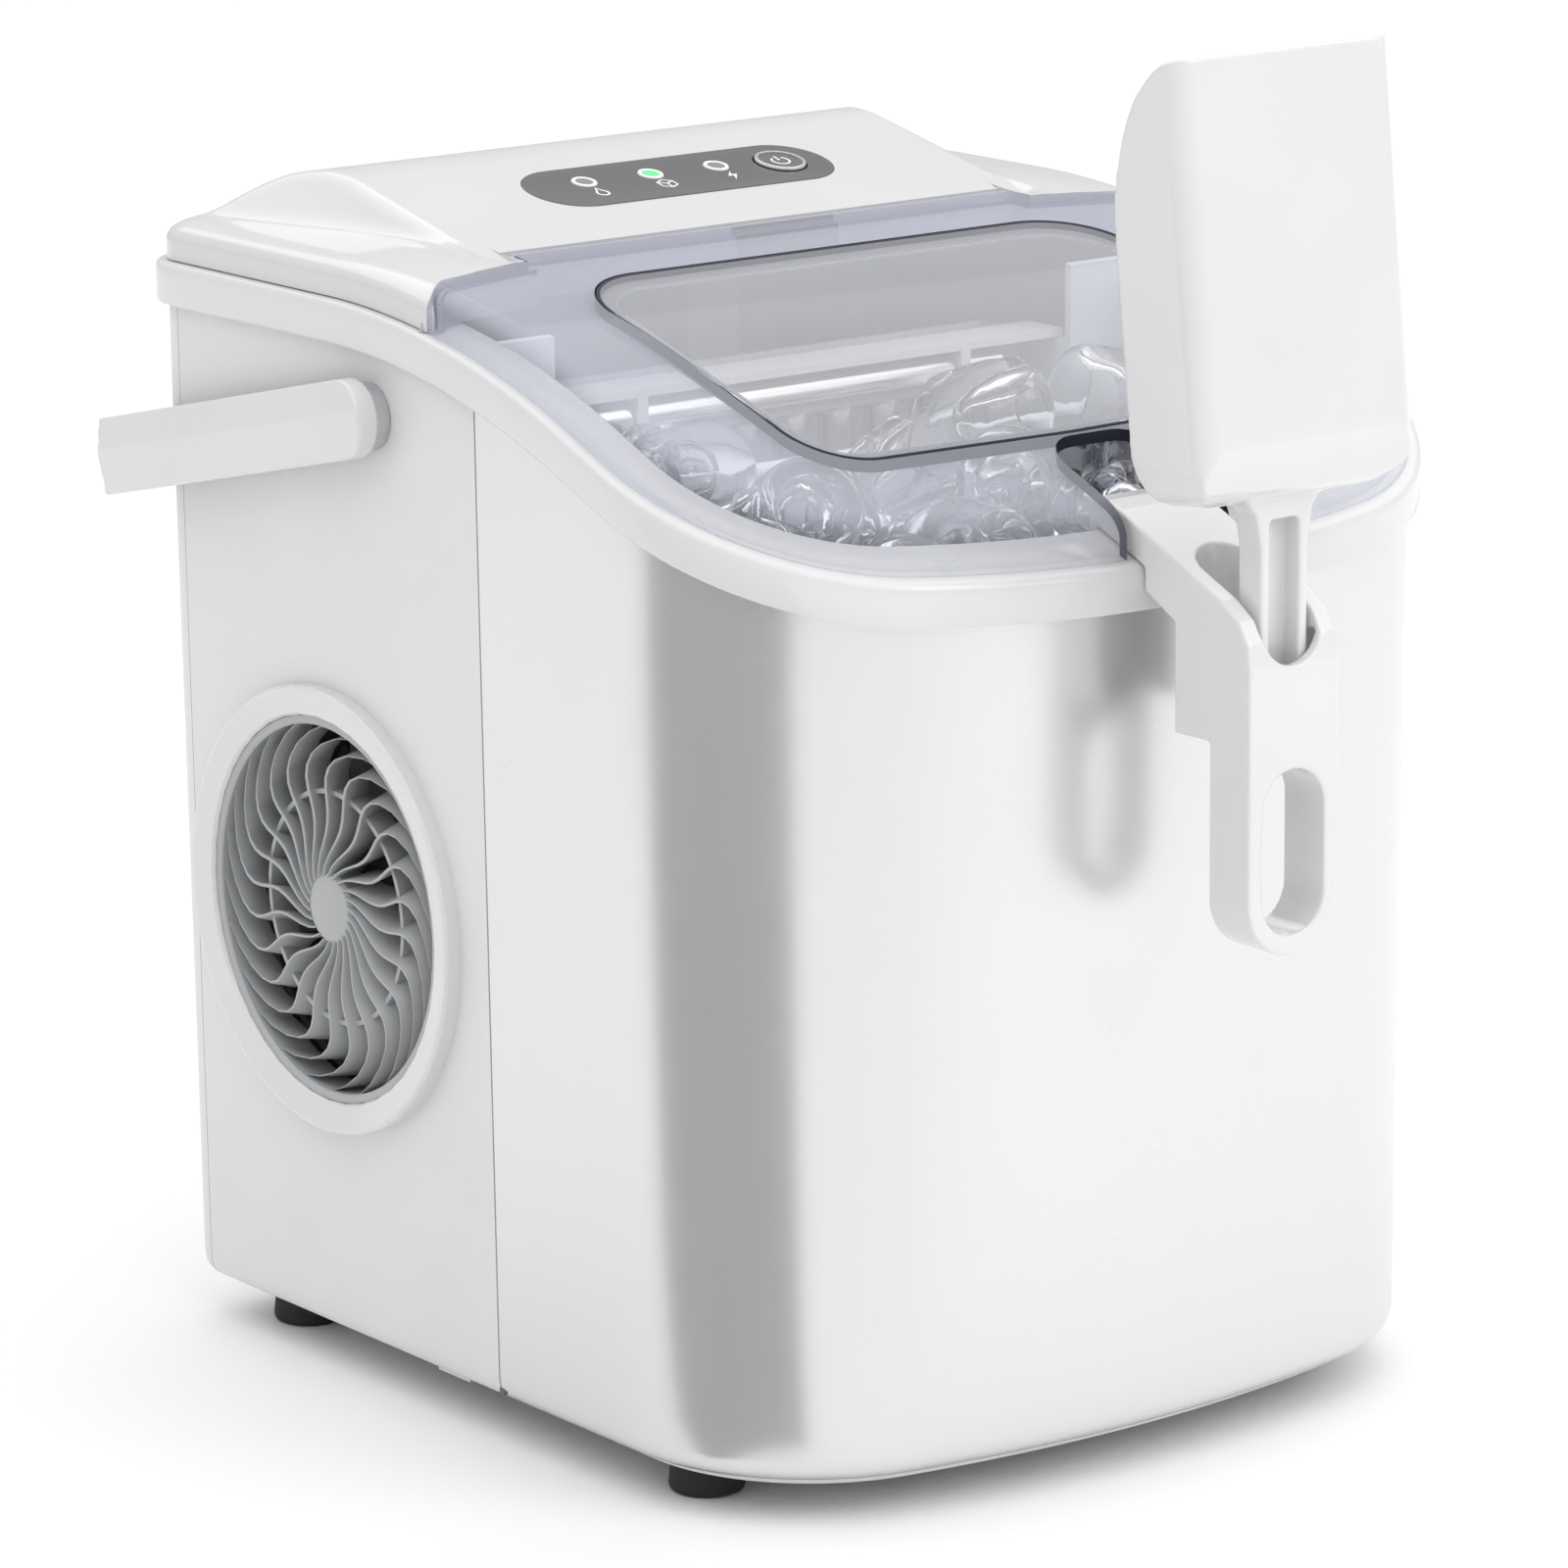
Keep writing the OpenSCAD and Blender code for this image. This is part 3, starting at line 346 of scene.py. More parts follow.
liner_grey = finish_of("liner_grey", (0.66, 0.69, 0.75), 0.3)
basket_grey = finish_of("basket_grey", (0.74, 0.76, 0.82), 0.25)
foam = finish_of("foam", (0.9, 0.88, 0.78), 0.9, bump=0.3)
zinc = finish_of("zinc", (0.62, 0.63, 0.65), 0.42, metallic=0.9, bump=0.05)
nickel = finish_of("nickel", (0.72, 0.72, 0.7), 0.2, metallic=1.0)
copper = finish_of("copper", (0.78, 0.42, 0.27), 0.28, metallic=1.0, vary=0.12)
aluminium = finish_of("aluminium", (0.78, 0.79, 0.8), 0.35, metallic=1.0)
black_paint = finish_of("black_paint", (0.025, 0.025, 0.027), 0.35, bump=0.06)
dark_plastic = finish_of("dark_plastic", (0.06, 0.06, 0.065), 0.4)
rubber = finish_of("rubber", (0.018, 0.018, 0.019), 0.7, bump=0.08)
board_green = finish_of("board_green", (0.03, 0.2, 0.08), 0.35, vary=0.2)
cable_grey = finish_of("cable_grey", (0.5, 0.5, 0.51), 0.45)
hose_clear = finish_of("hose_clear", (0.8, 0.8, 0.76), 0.25)
# Painted shade: a dark strip set behind the gap between the front and side panels, so the gap shows dark.
seam_gap_shade = finish_of("seam_gap_shade", (0.12, 0.12, 0.125), 0.5)
ice_clear = finish_of("ice_clear", (0.97, 0.98, 1.0), 0.04, transmission=1.0, ior=1.31, grain=260.0, bump=0.35,
                      vary=0.02)

BY_SLOT = {
    "shell_white": white, "panel_silver": silver, "side_white": side_white, "cover_grey": cover_grey,
    "grille_grey": grille_grey, "panel_dark": panel_dark, "button_dark": button_dark,
    "lamp_clear": lamp_clear, "lamp_green": lamp_green, "lid_smoke": smoke, "window_clear": window_clear,
    "liner_grey": liner_grey, "basket_grey": basket_grey, "foam": foam, "zinc": zinc, "nickel": nickel,
    "copper": copper, "aluminium": aluminium, "black_paint": black_paint, "dark_plastic": dark_plastic,
    "rubber": rubber, "board_green": board_green, "cable_grey": cable_grey, "hose_clear": hose_clear,
}
for part in frame["record"]["subparts"]:
    kept = frame["nodes"][part["node"]]
    kept.data.materials.clear()
    kept.data.materials.append(BY_SLOT[part["material_slot"]])
    shade(kept, 32)

# ---- Outer panels ----
STEPS_UP = [0.0, 0.0015, 0.006, 0.012, 0.019, 0.028, 0.06, 0.16, 0.3, 0.45, 0.6, 0.75, 0.88, 1.0]
TAPER = 1.9
TAPER_TOP = 235
FOOT_FILLET = 6.0
WALL = 2
SEAM_GAP = 0.3
REAR_GAP = 0.15


def draw_in(z):
    """How far a panel leans in at height z: a slight taper and a rounded foot."""
    up = z - WALL_Z
    inset = TAPER * max(0.0, 1 - up / TAPER_TOP)
    if up < FOOT_FILLET:
        inset += FOOT_FILLET - math.sqrt(FOOT_FILLET ** 2 - (FOOT_FILLET - up) ** 2)
    return inset


def shell(name, path, material):
    """A panel standing on a plan path, from its foot up into the rim."""
    reference = path(0)
    rings = []
    for k in range(len(reference)):
        top = deck(reference[k][1]) + 5.8
        outer = []
        inner = []
        for s in STEPS_UP:
            z = WALL_Z + (top - WALL_Z) * s
            x, y = path(-draw_in(z))[k]
            outer.append((x, y, z))
            x, y = path(-draw_in(z) - WALL)[k]
            inner.append((x, y, z))
        rings.append(outer + inner[::-1])
    return loft(name, rings, material)


SLITS = 10
SLIT_Z = 70
SLIT_STEP = 9
SLIT_H = 3
SLIT_HALF = 40
DRAIN_HOLE = (-75, 62, 6.4)
CORD_HOLE = (78, 38, 7.2)

front = shell("front_wrap_skin", lambda g: front_path(g, SEAM_Y - SEAM_GAP), silver)
settle(front, "housing", ["front_wrap"])
rear = shell("rear_panel_skin", lambda g: rear_path(g, REAR_SEAM_Y + REAR_GAP), side_white)
CUT = (118, 130)
for i in range(SLITS):
    low = SLIT_Z + i * SLIT_STEP
    combine(rear, prism(box_points((-SLIT_HALF, SLIT_HALF), (low, low + SLIT_H)), "y", *CUT, side_white))
for x, z, r in [DRAIN_HOLE, CORD_HOLE]:
    plug = [(0, CUT[0]), (r, CUT[0]), (r, CUT[1]), (0, CUT[1])]
    combine(rear, lathe("tool", plug, (x, 0, z), "y", side_white, 40))
shade(rear)
settle(rear, "housing", ["rear_panel"])

RING_PROFILE = [(VENT_R, -108.9), (VENT_R, -112.2), (VENT_R + 0.5, -112.9), (VENT_R + 6.0, -114.4),
                (VENT_R + 6.9, -114.3), (VENT_R + 7.5, -113.6), (VENT_R + 7.5, -108.9)]
VANES = 24
VANE_STEPS = 14


def vane_spot(t, across, x, twist):
    """A point on a swirl vane: t runs from the hub to the ring."""
    r = 8.0 + (VENT_R - 9.4) * t
    a = math.radians(62 * t + 12 * math.sin(2 * math.pi * t) + twist)
    return (x, r * math.cos(a) - across * math.sin(a), r * math.sin(a) + across * math.cos(a))


def grille(facing, name):
    """A round grille of thin S-shaped vanes between a hub and a ring, on one side of the body."""
    parts = []
    for v in range(VANES):
        rings = []
        for i in range(VANE_STEPS + 1):
            t = i / VANE_STEPS
            thick = 0.62 + 0.28 * math.sin(math.pi * t)
            section = [(-0.5 * thick, -110.5, 0), (-0.25 * thick, -110.8, 0), (0.25 * thick, -110.8, 0),
                       (0.5 * thick, -110.5, 0), (0.6 * thick, -102.2, -5), (-0.6 * thick, -102.2, -5)]
            ring = []
            for across, x, lean in section:
                p = vane_spot(t, across, x, lean + v * 360 / VANES)
                ring.append((facing * -p[0], p[1] + VENT[0], p[2] + VENT[1]))
            rings.append(ring)
        parts.append(loft("vane", rings, grille_grey))
    hub = [(0, -111.2), (5, -111.1), (8.2, -110.4), (9, -109.4), (9, -103), (0, -103)]
    outer = [(47.3, -111.8), (45.6, -111.8), (45.2, -111.4), (45.2, -102.3), (47.3, -102.3), (47.3, -111.8)]
    inner = [(29, -108.6), (27.8, -108.6), (27.8, -102.3), (29, -102.3), (29, -108.6)]
    for profile in (hub, outer, inner):
        turned = [(r, facing * -h) for r, h in profile]
        parts.append(lathe("ring", turned, (0, VENT[0], VENT[1]), "x", grille_grey, 96))
    whole = join(name, parts)
    shade(whole, 35)
    return whole


def side(sign, word):
    """A side panel with its raised vent ring and grille; sign is -1 on the left."""
    def run(g):
        x = sign * (HALF_W + g)
        return line((x, SEAM_Y + SEAM_GAP), (x, REAR_SEAM_Y - REAR_GAP), 48)
    panel = shell(word + "_side_skin", run, side_white)
    hole = lathe("tool", [(0, 0), (VENT_R + 2, 0), (VENT_R + 2, sign * 200), (0, sign * 200)],
                 (0, VENT[0], VENT[1]), "x", side_white, 96)
    combine(panel, hole)
    shade(panel)
    turned = [(r, -sign * h) for r, h in RING_PROFILE]
    ring = lathe(word + "_vent_ring", turned + turned[:1], (0, VENT[0], VENT[1]), "x", white, 40, 12)
    # A dark strip inside the body behind the seam gap: painted shade in the gap.
    strip = box_points((SEAM_Y - 0.9, SEAM_Y + 0.9), (12, deck(SEAM_Y) + 4))
    shadow = prism(strip, "x", sign * 107.2, sign * 108.6, seam_gap_shade, "seam")
    both = join(word + "_side", [panel, ring, shadow])
    settle(both, "housing", [word + "_side_panel"])
    settle(grille(-sign, word + "_grille"), "housing", [word + "_vent_grille"])


side(-1, "left")
side(1, "right")

FOOT_X = 90
FOOT_Y = (-68, 98)
FOOT_PROFILE = [(0, 0.05), (7.6, 0.05), (8.6, 0.5), (9, 1.4), (8.4, 7.9), (0, 7.9)]
feet = []
for x in (-FOOT_X, FOOT_X):
    for y in FOOT_Y:
        feet.append(lathe("foot", FOOT_PROFILE, (x, y, 0), "z", rubber, 40))
settle(join("rubber_feet", feet), "housing", ["feet"])

BASE_INSET = 9.5
BASE_Z = (8.2, 12.0)
base = prism(full_path(-BASE_INSET), "z", *BASE_Z, side_white, "base_skin")
settle(base, "housing", ["base_pan"])

# ---- Rim band ----
RIM_PROFILE = [(0.15, 0.0), (1.8, 0.0), (2.6, 0.25), (3.0, 1.1), (3.0, 8.9), (2.75, 9.8), (2.1, 10.35),
               (1.2, 10.5), (-4, 10.5), (-12.2, 10.5), (-12.8, 10.2), (-13, 9.6), (-13, 7.5), (-6, 7.5),
               (0.15, 7.5)]
rings = [[(x, y, deck(y) + up) for x, y in full_path(g)] for g, up in RIM_PROFILE]
rim = loft("rim_band", rings, white, closed_path=True, sharp=60)
settle(rim, "housing", ["top_rim"])


# ---- Sloping lid and rear cover, as fine height fields ----
CROWN_OUT = 0.3
CROWN_R = 7.0
EAR_IN = 79.0
EAR_OUT = 103.5
EAR_Y = 15.6
COVER_WALL = 2.2
LID_WALL = 2.6
FIELD_HALF = HALF_W + CROWN_OUT


def ease(low, high, v):
    """Smooth step from 0 at low to 1 at high."""
    t = min(max((v - low) / (high - low), 0.0), 1.0)
    return t * t * (3 - 2 * t)


def soft_min(a, b, k):
    """The lower of two heights, blended where they differ by less than k."""
    h = max(k - abs(a - b), 0.0) / k
    return min(a, b) - h * h * k / 4


def soft_max(a, b, k):
    """The higher of two heights, blended where they differ by less than k."""
    return -soft_min(-a, -b, k)


def front_inset(x, y):
    """Distance inside the front and side edge of the lid."""
    d = min(HALF_W + CROWN_OUT - abs(x), BOW_R + CROWN_OUT - math.hypot(x, y - BOW_Y))
    if abs(x) > CORNER_X and y < CORNER_Y:
        d = min(d, CORNER_R + CROWN_OUT - math.hypot(abs(x) - CORNER_X, y - CORNER_Y))
    return max(d, 0.0)


def lid_height(x, y):
    """Top of the lid: flat, with a rounded shoulder along its edge."""
    d = min(front_inset(x, y), CROWN_R)
    return deck(y) + 15.5 + 5.5 * math.sqrt(1 - (1 - d / CROWN_R) ** 2)


def rear_inset(x, y):
    """Distance inside the side and rear edge of the cover."""
    dx = HALF_W + CROWN_OUT - abs(x)
    dy = HALF_D + CROWN_OUT - y
    r = REAR_R + CROWN_OUT
    if dx < r and dy < r:
        return max(r - math.hypot(r - dx, r - dy), 0.0)
    return max(min(dx, dy), 0.0)


def hump_height(x, y):
    """The hump: control face in front, falling back edge, and a facet on each side."""
    face = FACE_START[1] + (y - FACE_START[0]) * math.tan(FACE_SLOPE)
    back = soft_min(290 - 0.033 * (y - 86), 289.6 - 0.383 * (y - 99), 3.0)
    back = soft_min(back, 285 - 0.95 * (y - 110), 5.0)
    top = soft_min(face, back, 1.6)
    facet = 369.8 - 1.168 * abs(x) + 0.1992 * y
    facet += 1.6 * (ease(84, 97, abs(x)) - 1)
    return soft_min(top, facet, 2.2)


def cover_height(x, y):
    """Top of the rear cover: its rounded shoulder with the hump on it."""
    d = rear_inset(x, y)
    near = min(d, CROWN_R)
    shoulder = deck(y) + 15.2 + 4.2 * math.sqrt(1 - (1 - near / CROWN_R) ** 2) + 0.08 * min(d, 20.0)
    shoulder -= 9 * (1 - ease(77.5, 84, abs(x))) * ease(16, 27, y)
    lowest = deck(y) + 12
    return max(soft_max(shoulder, hump_height(x, y), 3.2), lowest)


def columns(half, n, extra):
    """Places across the width, closer together near the edges."""
    xs = [half * math.sin(math.pi / 2 * k / n) for k in range(-n, n + 1)]
    xs = [x for x in xs if all(abs(abs(x) - e) > 0.4 for e in extra)]
    return sorted(xs + [s * e for e in extra for s in (-1, 1)])


def rows(n):
    """Fractions from 0 to 1, closer together at both ends."""
    return [(1 - math.cos(math.pi * k / n)) / 2 for k in range(n + 1)]


def height_field(name, xs, ts, y_low, y_high, height, foot, material, opening=None):
    """A closed sheet standing over a plan region, with walls down to its foot."""
    nx = len(xs)
    ny = len(ts)
    verts = []
    for t in ts:
        for x in xs:
            y = y_low(x) + (y_high(x) - y_low(x)) * t
            verts.append((x, y, height(x, y)))
    faces = []
    for j in range(ny - 1):
        for i in range(nx - 1):
            a = j * nx + i
            if opening and opening(*verts[a][:2]):
                continue
            faces.append((a, a + 1, a + nx + 1, a + nx))
    edge = list(range(nx))
    edge += [j * nx + nx - 1 for j in range(1, ny)]
    edge += [(ny - 1) * nx + i for i in range(nx - 2, -1, -1)]
    edge += [j * nx for j in range(ny - 2, 0, -1)]
    base = len(verts)
    for v in edge:
        x, y, z = verts[v]
        verts.append((x, y, min(foot(y), z - 0.5)))
    for k in range(len(edge)):
        m = (k + 1) % len(edge)
        faces.append((edge[k], edge[m], base + m, base + k))
    obj = make(name, verts, faces, material, 50)
    if sum(p.normal.z * p.area for p in obj.data.polygons) < 0:
        obj.data.flip_normals()
    return obj


def thicken(obj, thickness):
    """Gives a sheet its wall, on the inner side."""
    mod = obj.modifiers.new("wall", "SOLIDIFY")
    mod.thickness = thickness * MM
    mod.offset = -1
    mod.use_quality_normals = True
    bake(obj)
    bm = bmesh.new()
    bm.from_mesh(obj.data)
    bmesh.ops.remove_doubles(bm, verts=bm.verts, dist=1e-7)
    bmesh.ops.recalc_face_normals(bm, faces=bm.faces)
    bm.to_mesh(obj.data)
    bm.free()
    return obj


def cover_front(x):
    """Front edge of the cover at x: behind the lid, then forward beside it and out to the rim."""
    x = abs(x)
    if x < 76.2:
        return FACE_START[0]
    if x < EAR_IN:
        return EAR_Y
    if x < EAR_OUT:
        return EAR_Y - 4.6 * (x - EAR_IN) / 24.5
    return 11 - 31 / 46.5 * (x - EAR_OUT)


def cover_rear(x):
    """Rear edge of the cover at x."""
    x = abs(x)
    inner = HALF_W - REAR_R
    if x <= inner:
        return HALF_D + CROWN_OUT
    return HALF_D - REAR_R + math.sqrt(max((REAR_R + CROWN_OUT) ** 2 - (x - inner) ** 2, 0.0))


def under_panel(x, y):
    """Inside the control panel's footprint, a little in from its edge."""
    across = max(abs(x - PANEL_X) - 32.5, 0.0)
    up = (y - FACE_START[0]) / math.cos(FACE_SLOPE) - PANEL_UP
    return math.hypot(across, up) < 10.3


def rim_top(y):
    """Where the walls of the cover and the lid stand."""
    return deck(y) + RIM_H + 0.3


cover = height_field("cover_skin", columns(FIELD_HALF, 120, [76.0, 76.4, EAR_IN, EAR_OUT]), rows(96),
                     cover_front, cover_rear, cover_height, rim_top, cover_grey, under_panel)
thicken(cover, COVER_WALL)
shade(cover, 42)
settle(cover, "housing", ["top_cover"])


def on_face(x, v, w):
    """A point on the sloping control face: across, up the slope, out of it."""
    s = math.sin(FACE_SLOPE)
    c = math.cos(FACE_SLOPE)
    return (x + PANEL_X, FACE_START[0] + (v + PANEL_UP) * c - w * s, FACE_START[1] + (v + PANEL_UP) * s + w * c)


def face_plate(name, points, low, high, material, rounding=0.0):
    """A flat plate on the control face from (x, v) points."""
    levels = [(low, 1.0), (high - rounding, 1.0)]
    if rounding:
        levels += [(high - rounding * 0.3, 1 - rounding * 0.3 / 12), (high, 1 - rounding / 12)]
    rings = [[on_face(x * k, v * k, w) for x, v in points] for w, k in levels]
    return loft(name, rings, material)


def face_lathe(name, profile, x, v, material, steps=48):
    """A round part on the control face."""
    rings = []
    for r, w in profile:
        rings.append([on_face(x + r * math.cos(2 * math.pi * i / steps),
                              v + r * math.sin(2 * math.pi * i / steps), w) for i in range(steps)])
    return loft(name, rings, material, caps=False)


def stadium(w, h):
    """A slot outline: two half rounds joined by straight sides."""
    r = h / 2
    return arc(w / 2 - r, 0, r, -90, 90, 24) + arc(-w / 2 + r, 0, r, 90, 270, 24)


LAMP_X = [-27, -7, 13]
LAMP_UP = 2.5
BUTTON_X = 31

plate = face_plate("panel_plate", stadium(90, 25), -1.2, 0.25, panel_dark, 0.25)
for x in LAMP_X:
    combine(plate, face_lathe("tool", [(0, -3), (2.65, -3), (2.65, 2), (0, 2)], x, LAMP_UP, panel_dark, 40))
combine(plate, face_lathe("tool", [(0, -3), (6.95, -3), (6.95, 2), (0, 2)], BUTTON_X, 0, panel_dark, 56))
shade(plate, 30)
settle(plate, "housing", ["control_panel"])

LAMP_RING = [(2.25, 0.2), (2.3, 0.5), (2.6, 0.62), (3.1, 0.55), (3.3, 0.2), (2.25, 0.2)]
marks = [face_lathe("ring", LAMP_RING, x, LAMP_UP, print_white) for x in LAMP_X]


def ribbon(points, width, closed, low=0.2, high=0.36, material=print_white):
    """A thin printed line along (x, v) points."""
    n = len(points)
    left = []
    right = []
    for i in range(n):
        a = points[(i - 1) % n] if closed or i > 0 else points[i]
        b = points[(i + 1) % n] if closed or i < n - 1 else points[i]
        d = Vector((b[0] - a[0], b[1] - a[1])).normalized()
        left.append((points[i][0] - d.y * width / 2, points[i][1] + d.x * width / 2))
        right.append((points[i][0] + d.y * width / 2, points[i][1] - d.x * width / 2))
    rings = []
    for p, q in zip(left, right):
        rings.append([on_face(p[0], p[1], low), on_face(p[0], p[1], high), on_face(q[0], q[1], high),
                      on_face(q[0], q[1], low)])
    return loft("line", rings, material, closed_path=closed)


def droplet(x, v, size):
    """Outline of a water drop."""
    bottom = arc(x, v - size * 0.35, size * 0.62, -200, 20, 18)
    return bottom + [(x + size * 0.28, v + size * 0.35), (x, v + size), (x - size * 0.28, v + size * 0.35)]


ICON_V = -4.6
marks.append(ribbon(droplet(LAMP_X[0], ICON_V, 2.5), 0.5, True))
cube_x = LAMP_X[1]
hexagon = [(cube_x + 2.6 * math.cos(math.radians(a)), ICON_V + 2.6 * math.sin(math.radians(a))) for a in
           (90, 30, -30, -90, -150, 150)]
marks.append(ribbon(hexagon, 0.45, True))
for a in (30, 150, 270):
    tip = (cube_x + 2.4 * math.cos(math.radians(a)), ICON_V + 2.4 * math.sin(math.radians(a)))
    marks.append(ribbon([(cube_x, ICON_V), tip], 0.42, False))
bolt_x = LAMP_X[2]
bolt = [(bolt_x + 1.0, ICON_V + 2.8), (bolt_x - 1.4, ICON_V - 0.1), (bolt_x + 0.2, ICON_V - 0.1),
        (bolt_x - 0.9, ICON_V - 2.8), (bolt_x + 1.6, ICON_V + 0.6), (bolt_x, ICON_V + 0.6)]
marks.append(face_plate("bolt", bolt, 0.2, 0.36, print_white))
settle(join("panel_marks", marks), "housing")

key = face_lathe("key", [(0, -1.6), (6.2, -1.6), (6.5, -1.2), (6.5, 0.7), (6.1, 1.05), (5.5, 1.05), (5.2, 0.75),
                         (0, 0.55)], BUTTON_X, 0, button_dark, 64)
trim = face_lathe("trim", [(6.56, 0.55), (6.4, 1.0), (5.9, 1.12), (5.4, 0.98), (5.25, 0.6), (6.56, 0.55)],
                  BUTTON_X, 0, ring_metal, 64)
stem = face_lathe("stem", [(0, -1.5), (2, -1.5), (2, -7.1), (0, -7.1)], BUTTON_X, 0, button_dark, 24)
symbol = ribbon(arc(BUTTON_X, -0.2, 2.3, 125, 415, 24), 0.5, False, 0.55, 0.8)
bar = ribbon([(BUTTON_X, 0.3), (BUTTON_X, 2.8)], 0.5, False, 0.55, 0.8)
settle(join("round_button", [key, trim, stem, symbol, bar]), "button", ["power_button"])


# ---- Lid and window ----
BOW_END = 65.9
NOTCH_HALF = 15.5
NOTCH_R = 10.0
THROUGH = (150, 340)


def lid_front(x):
    """Front edge of the lid at x: the bow, then the round corner."""
    if abs(x) < BOW_END:
        return BOW_Y - math.sqrt((BOW_R + CROWN_OUT) ** 2 - x * x)
    return CORNER_Y - math.sqrt(max((CORNER_R + CROWN_OUT) ** 2 - (abs(x) - CORNER_X) ** 2, 0.0))


def lid_rear(x):
    """Rear edge of the lid at x, half a millimetre clear of the cover."""
    return 21.2 if abs(x) < 75.7 else cover_front(max(abs(x), 76.5)) - 0.5


def window_outline(g):
    """The window's outline grown by g."""
    back = -1
    head = -92.5
    half = arc(58, back - 20, 20 + g, 90, 4, 14) + arc(54, head + 19, 18 + g, 0, -86, 14)
    return half + [(0, head - g)] + [(-x, y) for x, y in reversed(half)]


lid = height_field("lid_shell", columns(FIELD_HALF, 90, [75.4, 75.9, EAR_IN, EAR_OUT]), rows(80), lid_front,
                   lid_rear, lid_height, rim_top, smoke)
thicken(lid, LID_WALL)
half_barrel = [(0, 75.2), (2.7, 75.2), (3, 74.9)]
barrel_profile = [(r, -h) for r, h in half_barrel] + half_barrel[::-1]
barrel = lathe("barrel", barrel_profile, (0, HINGE[0], HINGE[1]), "x", smoke, 40)
web = prism([(20.9, 271.5), (24, 271.3), (24, 276.4), (20.9, 276.2)], "x", -75, 75, smoke)
combine(lid, prism(window_outline(0.25), "z", *THROUGH, smoke))
notch = [(SCOOP_X + NOTCH_HALF, -200)] + arc(SCOOP_X + NOTCH_HALF - NOTCH_R, -103.5, NOTCH_R, 0, 90, 12)
notch += arc(SCOOP_X - NOTCH_HALF + NOTCH_R, -103.5, NOTCH_R, 90, 180, 12) + [(SCOOP_X - NOTCH_HALF, -200)]
combine(lid, prism(notch, "z", *THROUGH, smoke))
lid.data.materials.append(clear_edge_shade)
lid.data.materials.append(smoke_edge_shade)
# Steep cut faces round the window and the scoop notch take the near-black painted shade. Steep faces at the
# back take the denser smoke, also darkened as painted shade.
for poly in lid.data.polygons:
    c = poly.center / MM
    y = c.y - SHIFT
    inside = front_inset(c.x, y)
    steep = abs(poly.normal.z) < 0.5
    near_window = abs(c.x) < 79 and -96 < y < 0.6
    if steep and near_window and inside > 12:
        poly.material_index = 1
    elif steep and abs(c.x - SCOOP_X) < 15.7 and y > -121:
        poly.material_index = 1
    elif steep and y > 5 and inside > 3:
        poly.material_index = 2
shade(lid, 40)
hinge_side = join("lid_hinge_side", [barrel, web])
shade(hinge_side, 40)
lid = join("lid_shell", [lid, hinge_side])
settle(lid, "lid", ["lid"])


def window_ring(g, drop):
    """The window's outline on the lid's surface, sunk by drop."""
    return [(x, y, deck(y) + LID_RISE - drop) for x, y in window_outline(g)]


PANE_ROWS = 60
PANE_HALF = 20


def pane_grid(name, drop, material):
    """A sheet of the window that follows the deck, as rows across it."""
    outline_points = window_outline(-0.4)
    ys = [(-92.9 + 0.45) + (91.9 - 0.5) * (1 - math.cos(math.pi * k / PANE_ROWS)) / 2
          for k in range(PANE_ROWS + 1)]
    rings = []
    right = [p for p in outline_points if p[0] >= 0]
    right.sort(key=lambda p: p[1])
    for y in ys:
        half = 0.0
        for a, b in zip(right, right[1:]):
            if a[1] <= y <= b[1] and b[1] > a[1]:
                half = max(half, a[0] + (b[0] - a[0]) * (y - a[1]) / (b[1] - a[1]))
        rings.append([(half * math.sin(math.pi / 2 * k / PANE_HALF), y, deck(y) + LID_RISE - drop)
                      for k in range(-PANE_HALF, PANE_HALF + 1)])
    return loft(name, rings, material, closed_ring=False, caps=False, sharp=180)


# The window's rim is near-black painted shade, and the inner line is the denser smoke, darkened as painted
# shade.
border = loft("border", [window_ring(0.1, 2.6), window_ring(0.1, 0.3), window_ring(-0.15, 0.02),
                         window_ring(-0.9, 0.0), window_ring(-1.1, 0.2), window_ring(-1.1, 2.6)],
              clear_edge_shade, closed_path=True)
inner_line = loft("line", [window_ring(-4.6, 1.5), window_ring(-4.6, 2.3), window_ring(-5.0, 2.3),
                           window_ring(-5.0, 1.5)], smoke_edge_shade, closed_path=True)
pane = join("window_pane", [pane_grid("top", 0.12, window_clear), pane_grid("under", 1.5, window_clear), border,
                            inner_line])
settle(pane, "lid", ["lid_window"])

# ---- Carry handle ----
DROOP = math.radians(13)
PIVOT = (30.0, 242.0)
ARM_IN = 115.3
ARM_OUT = 121.4
ARM_HALF = 9.5
ARM_END = 108.2
ARM_CREST = 0.8
GRIP_HALF = 118
GRIP = [(102.5, -9.3), (107.6, -9.3), (108.8, 0), (107.6, 9.3), (102.5, 9.3)]


def hung(x, v, w):
    """A point in the handle's own frame: across, out from the pivot, up."""
    c = math.cos(DROOP)
    s = math.sin(DROOP)
    return (x, PIVOT[0] + v * c + w * s, PIVOT[1] - v * s + w * c)


def arm(sign):
    """One side arm of the handle; sign is -1 on the left."""
    rings = []
    for k in range(25):
        w = -ARM_HALF * math.cos(math.pi * k / 24)
        out = ARM_OUT - 0.05 - 1.5 * abs(w - ARM_CREST) / 10.3
        start = -math.sqrt(max(ARM_HALF ** 2 - w * w, 0.0))
        end = ARM_END - 0.12 * w
        rings.append([hung(sign * ARM_IN, start, w), hung(sign * out, start, w), hung(sign * out, end, w),
                      hung(sign * ARM_IN, end, w)])
    return loft("arm", rings, white)


grip_rings = [[hung(GRIP_HALF * k / 8, v, w) for v, w in GRIP] for k in range(-8, 9)]
handle = arm(-1)
combine(handle, arm(1), "UNION")
combine(handle, loft("grip", grip_rings, white), "UNION")
soften(handle, 0.55, 5)
settle(handle, "handle", ["carry_handle"])

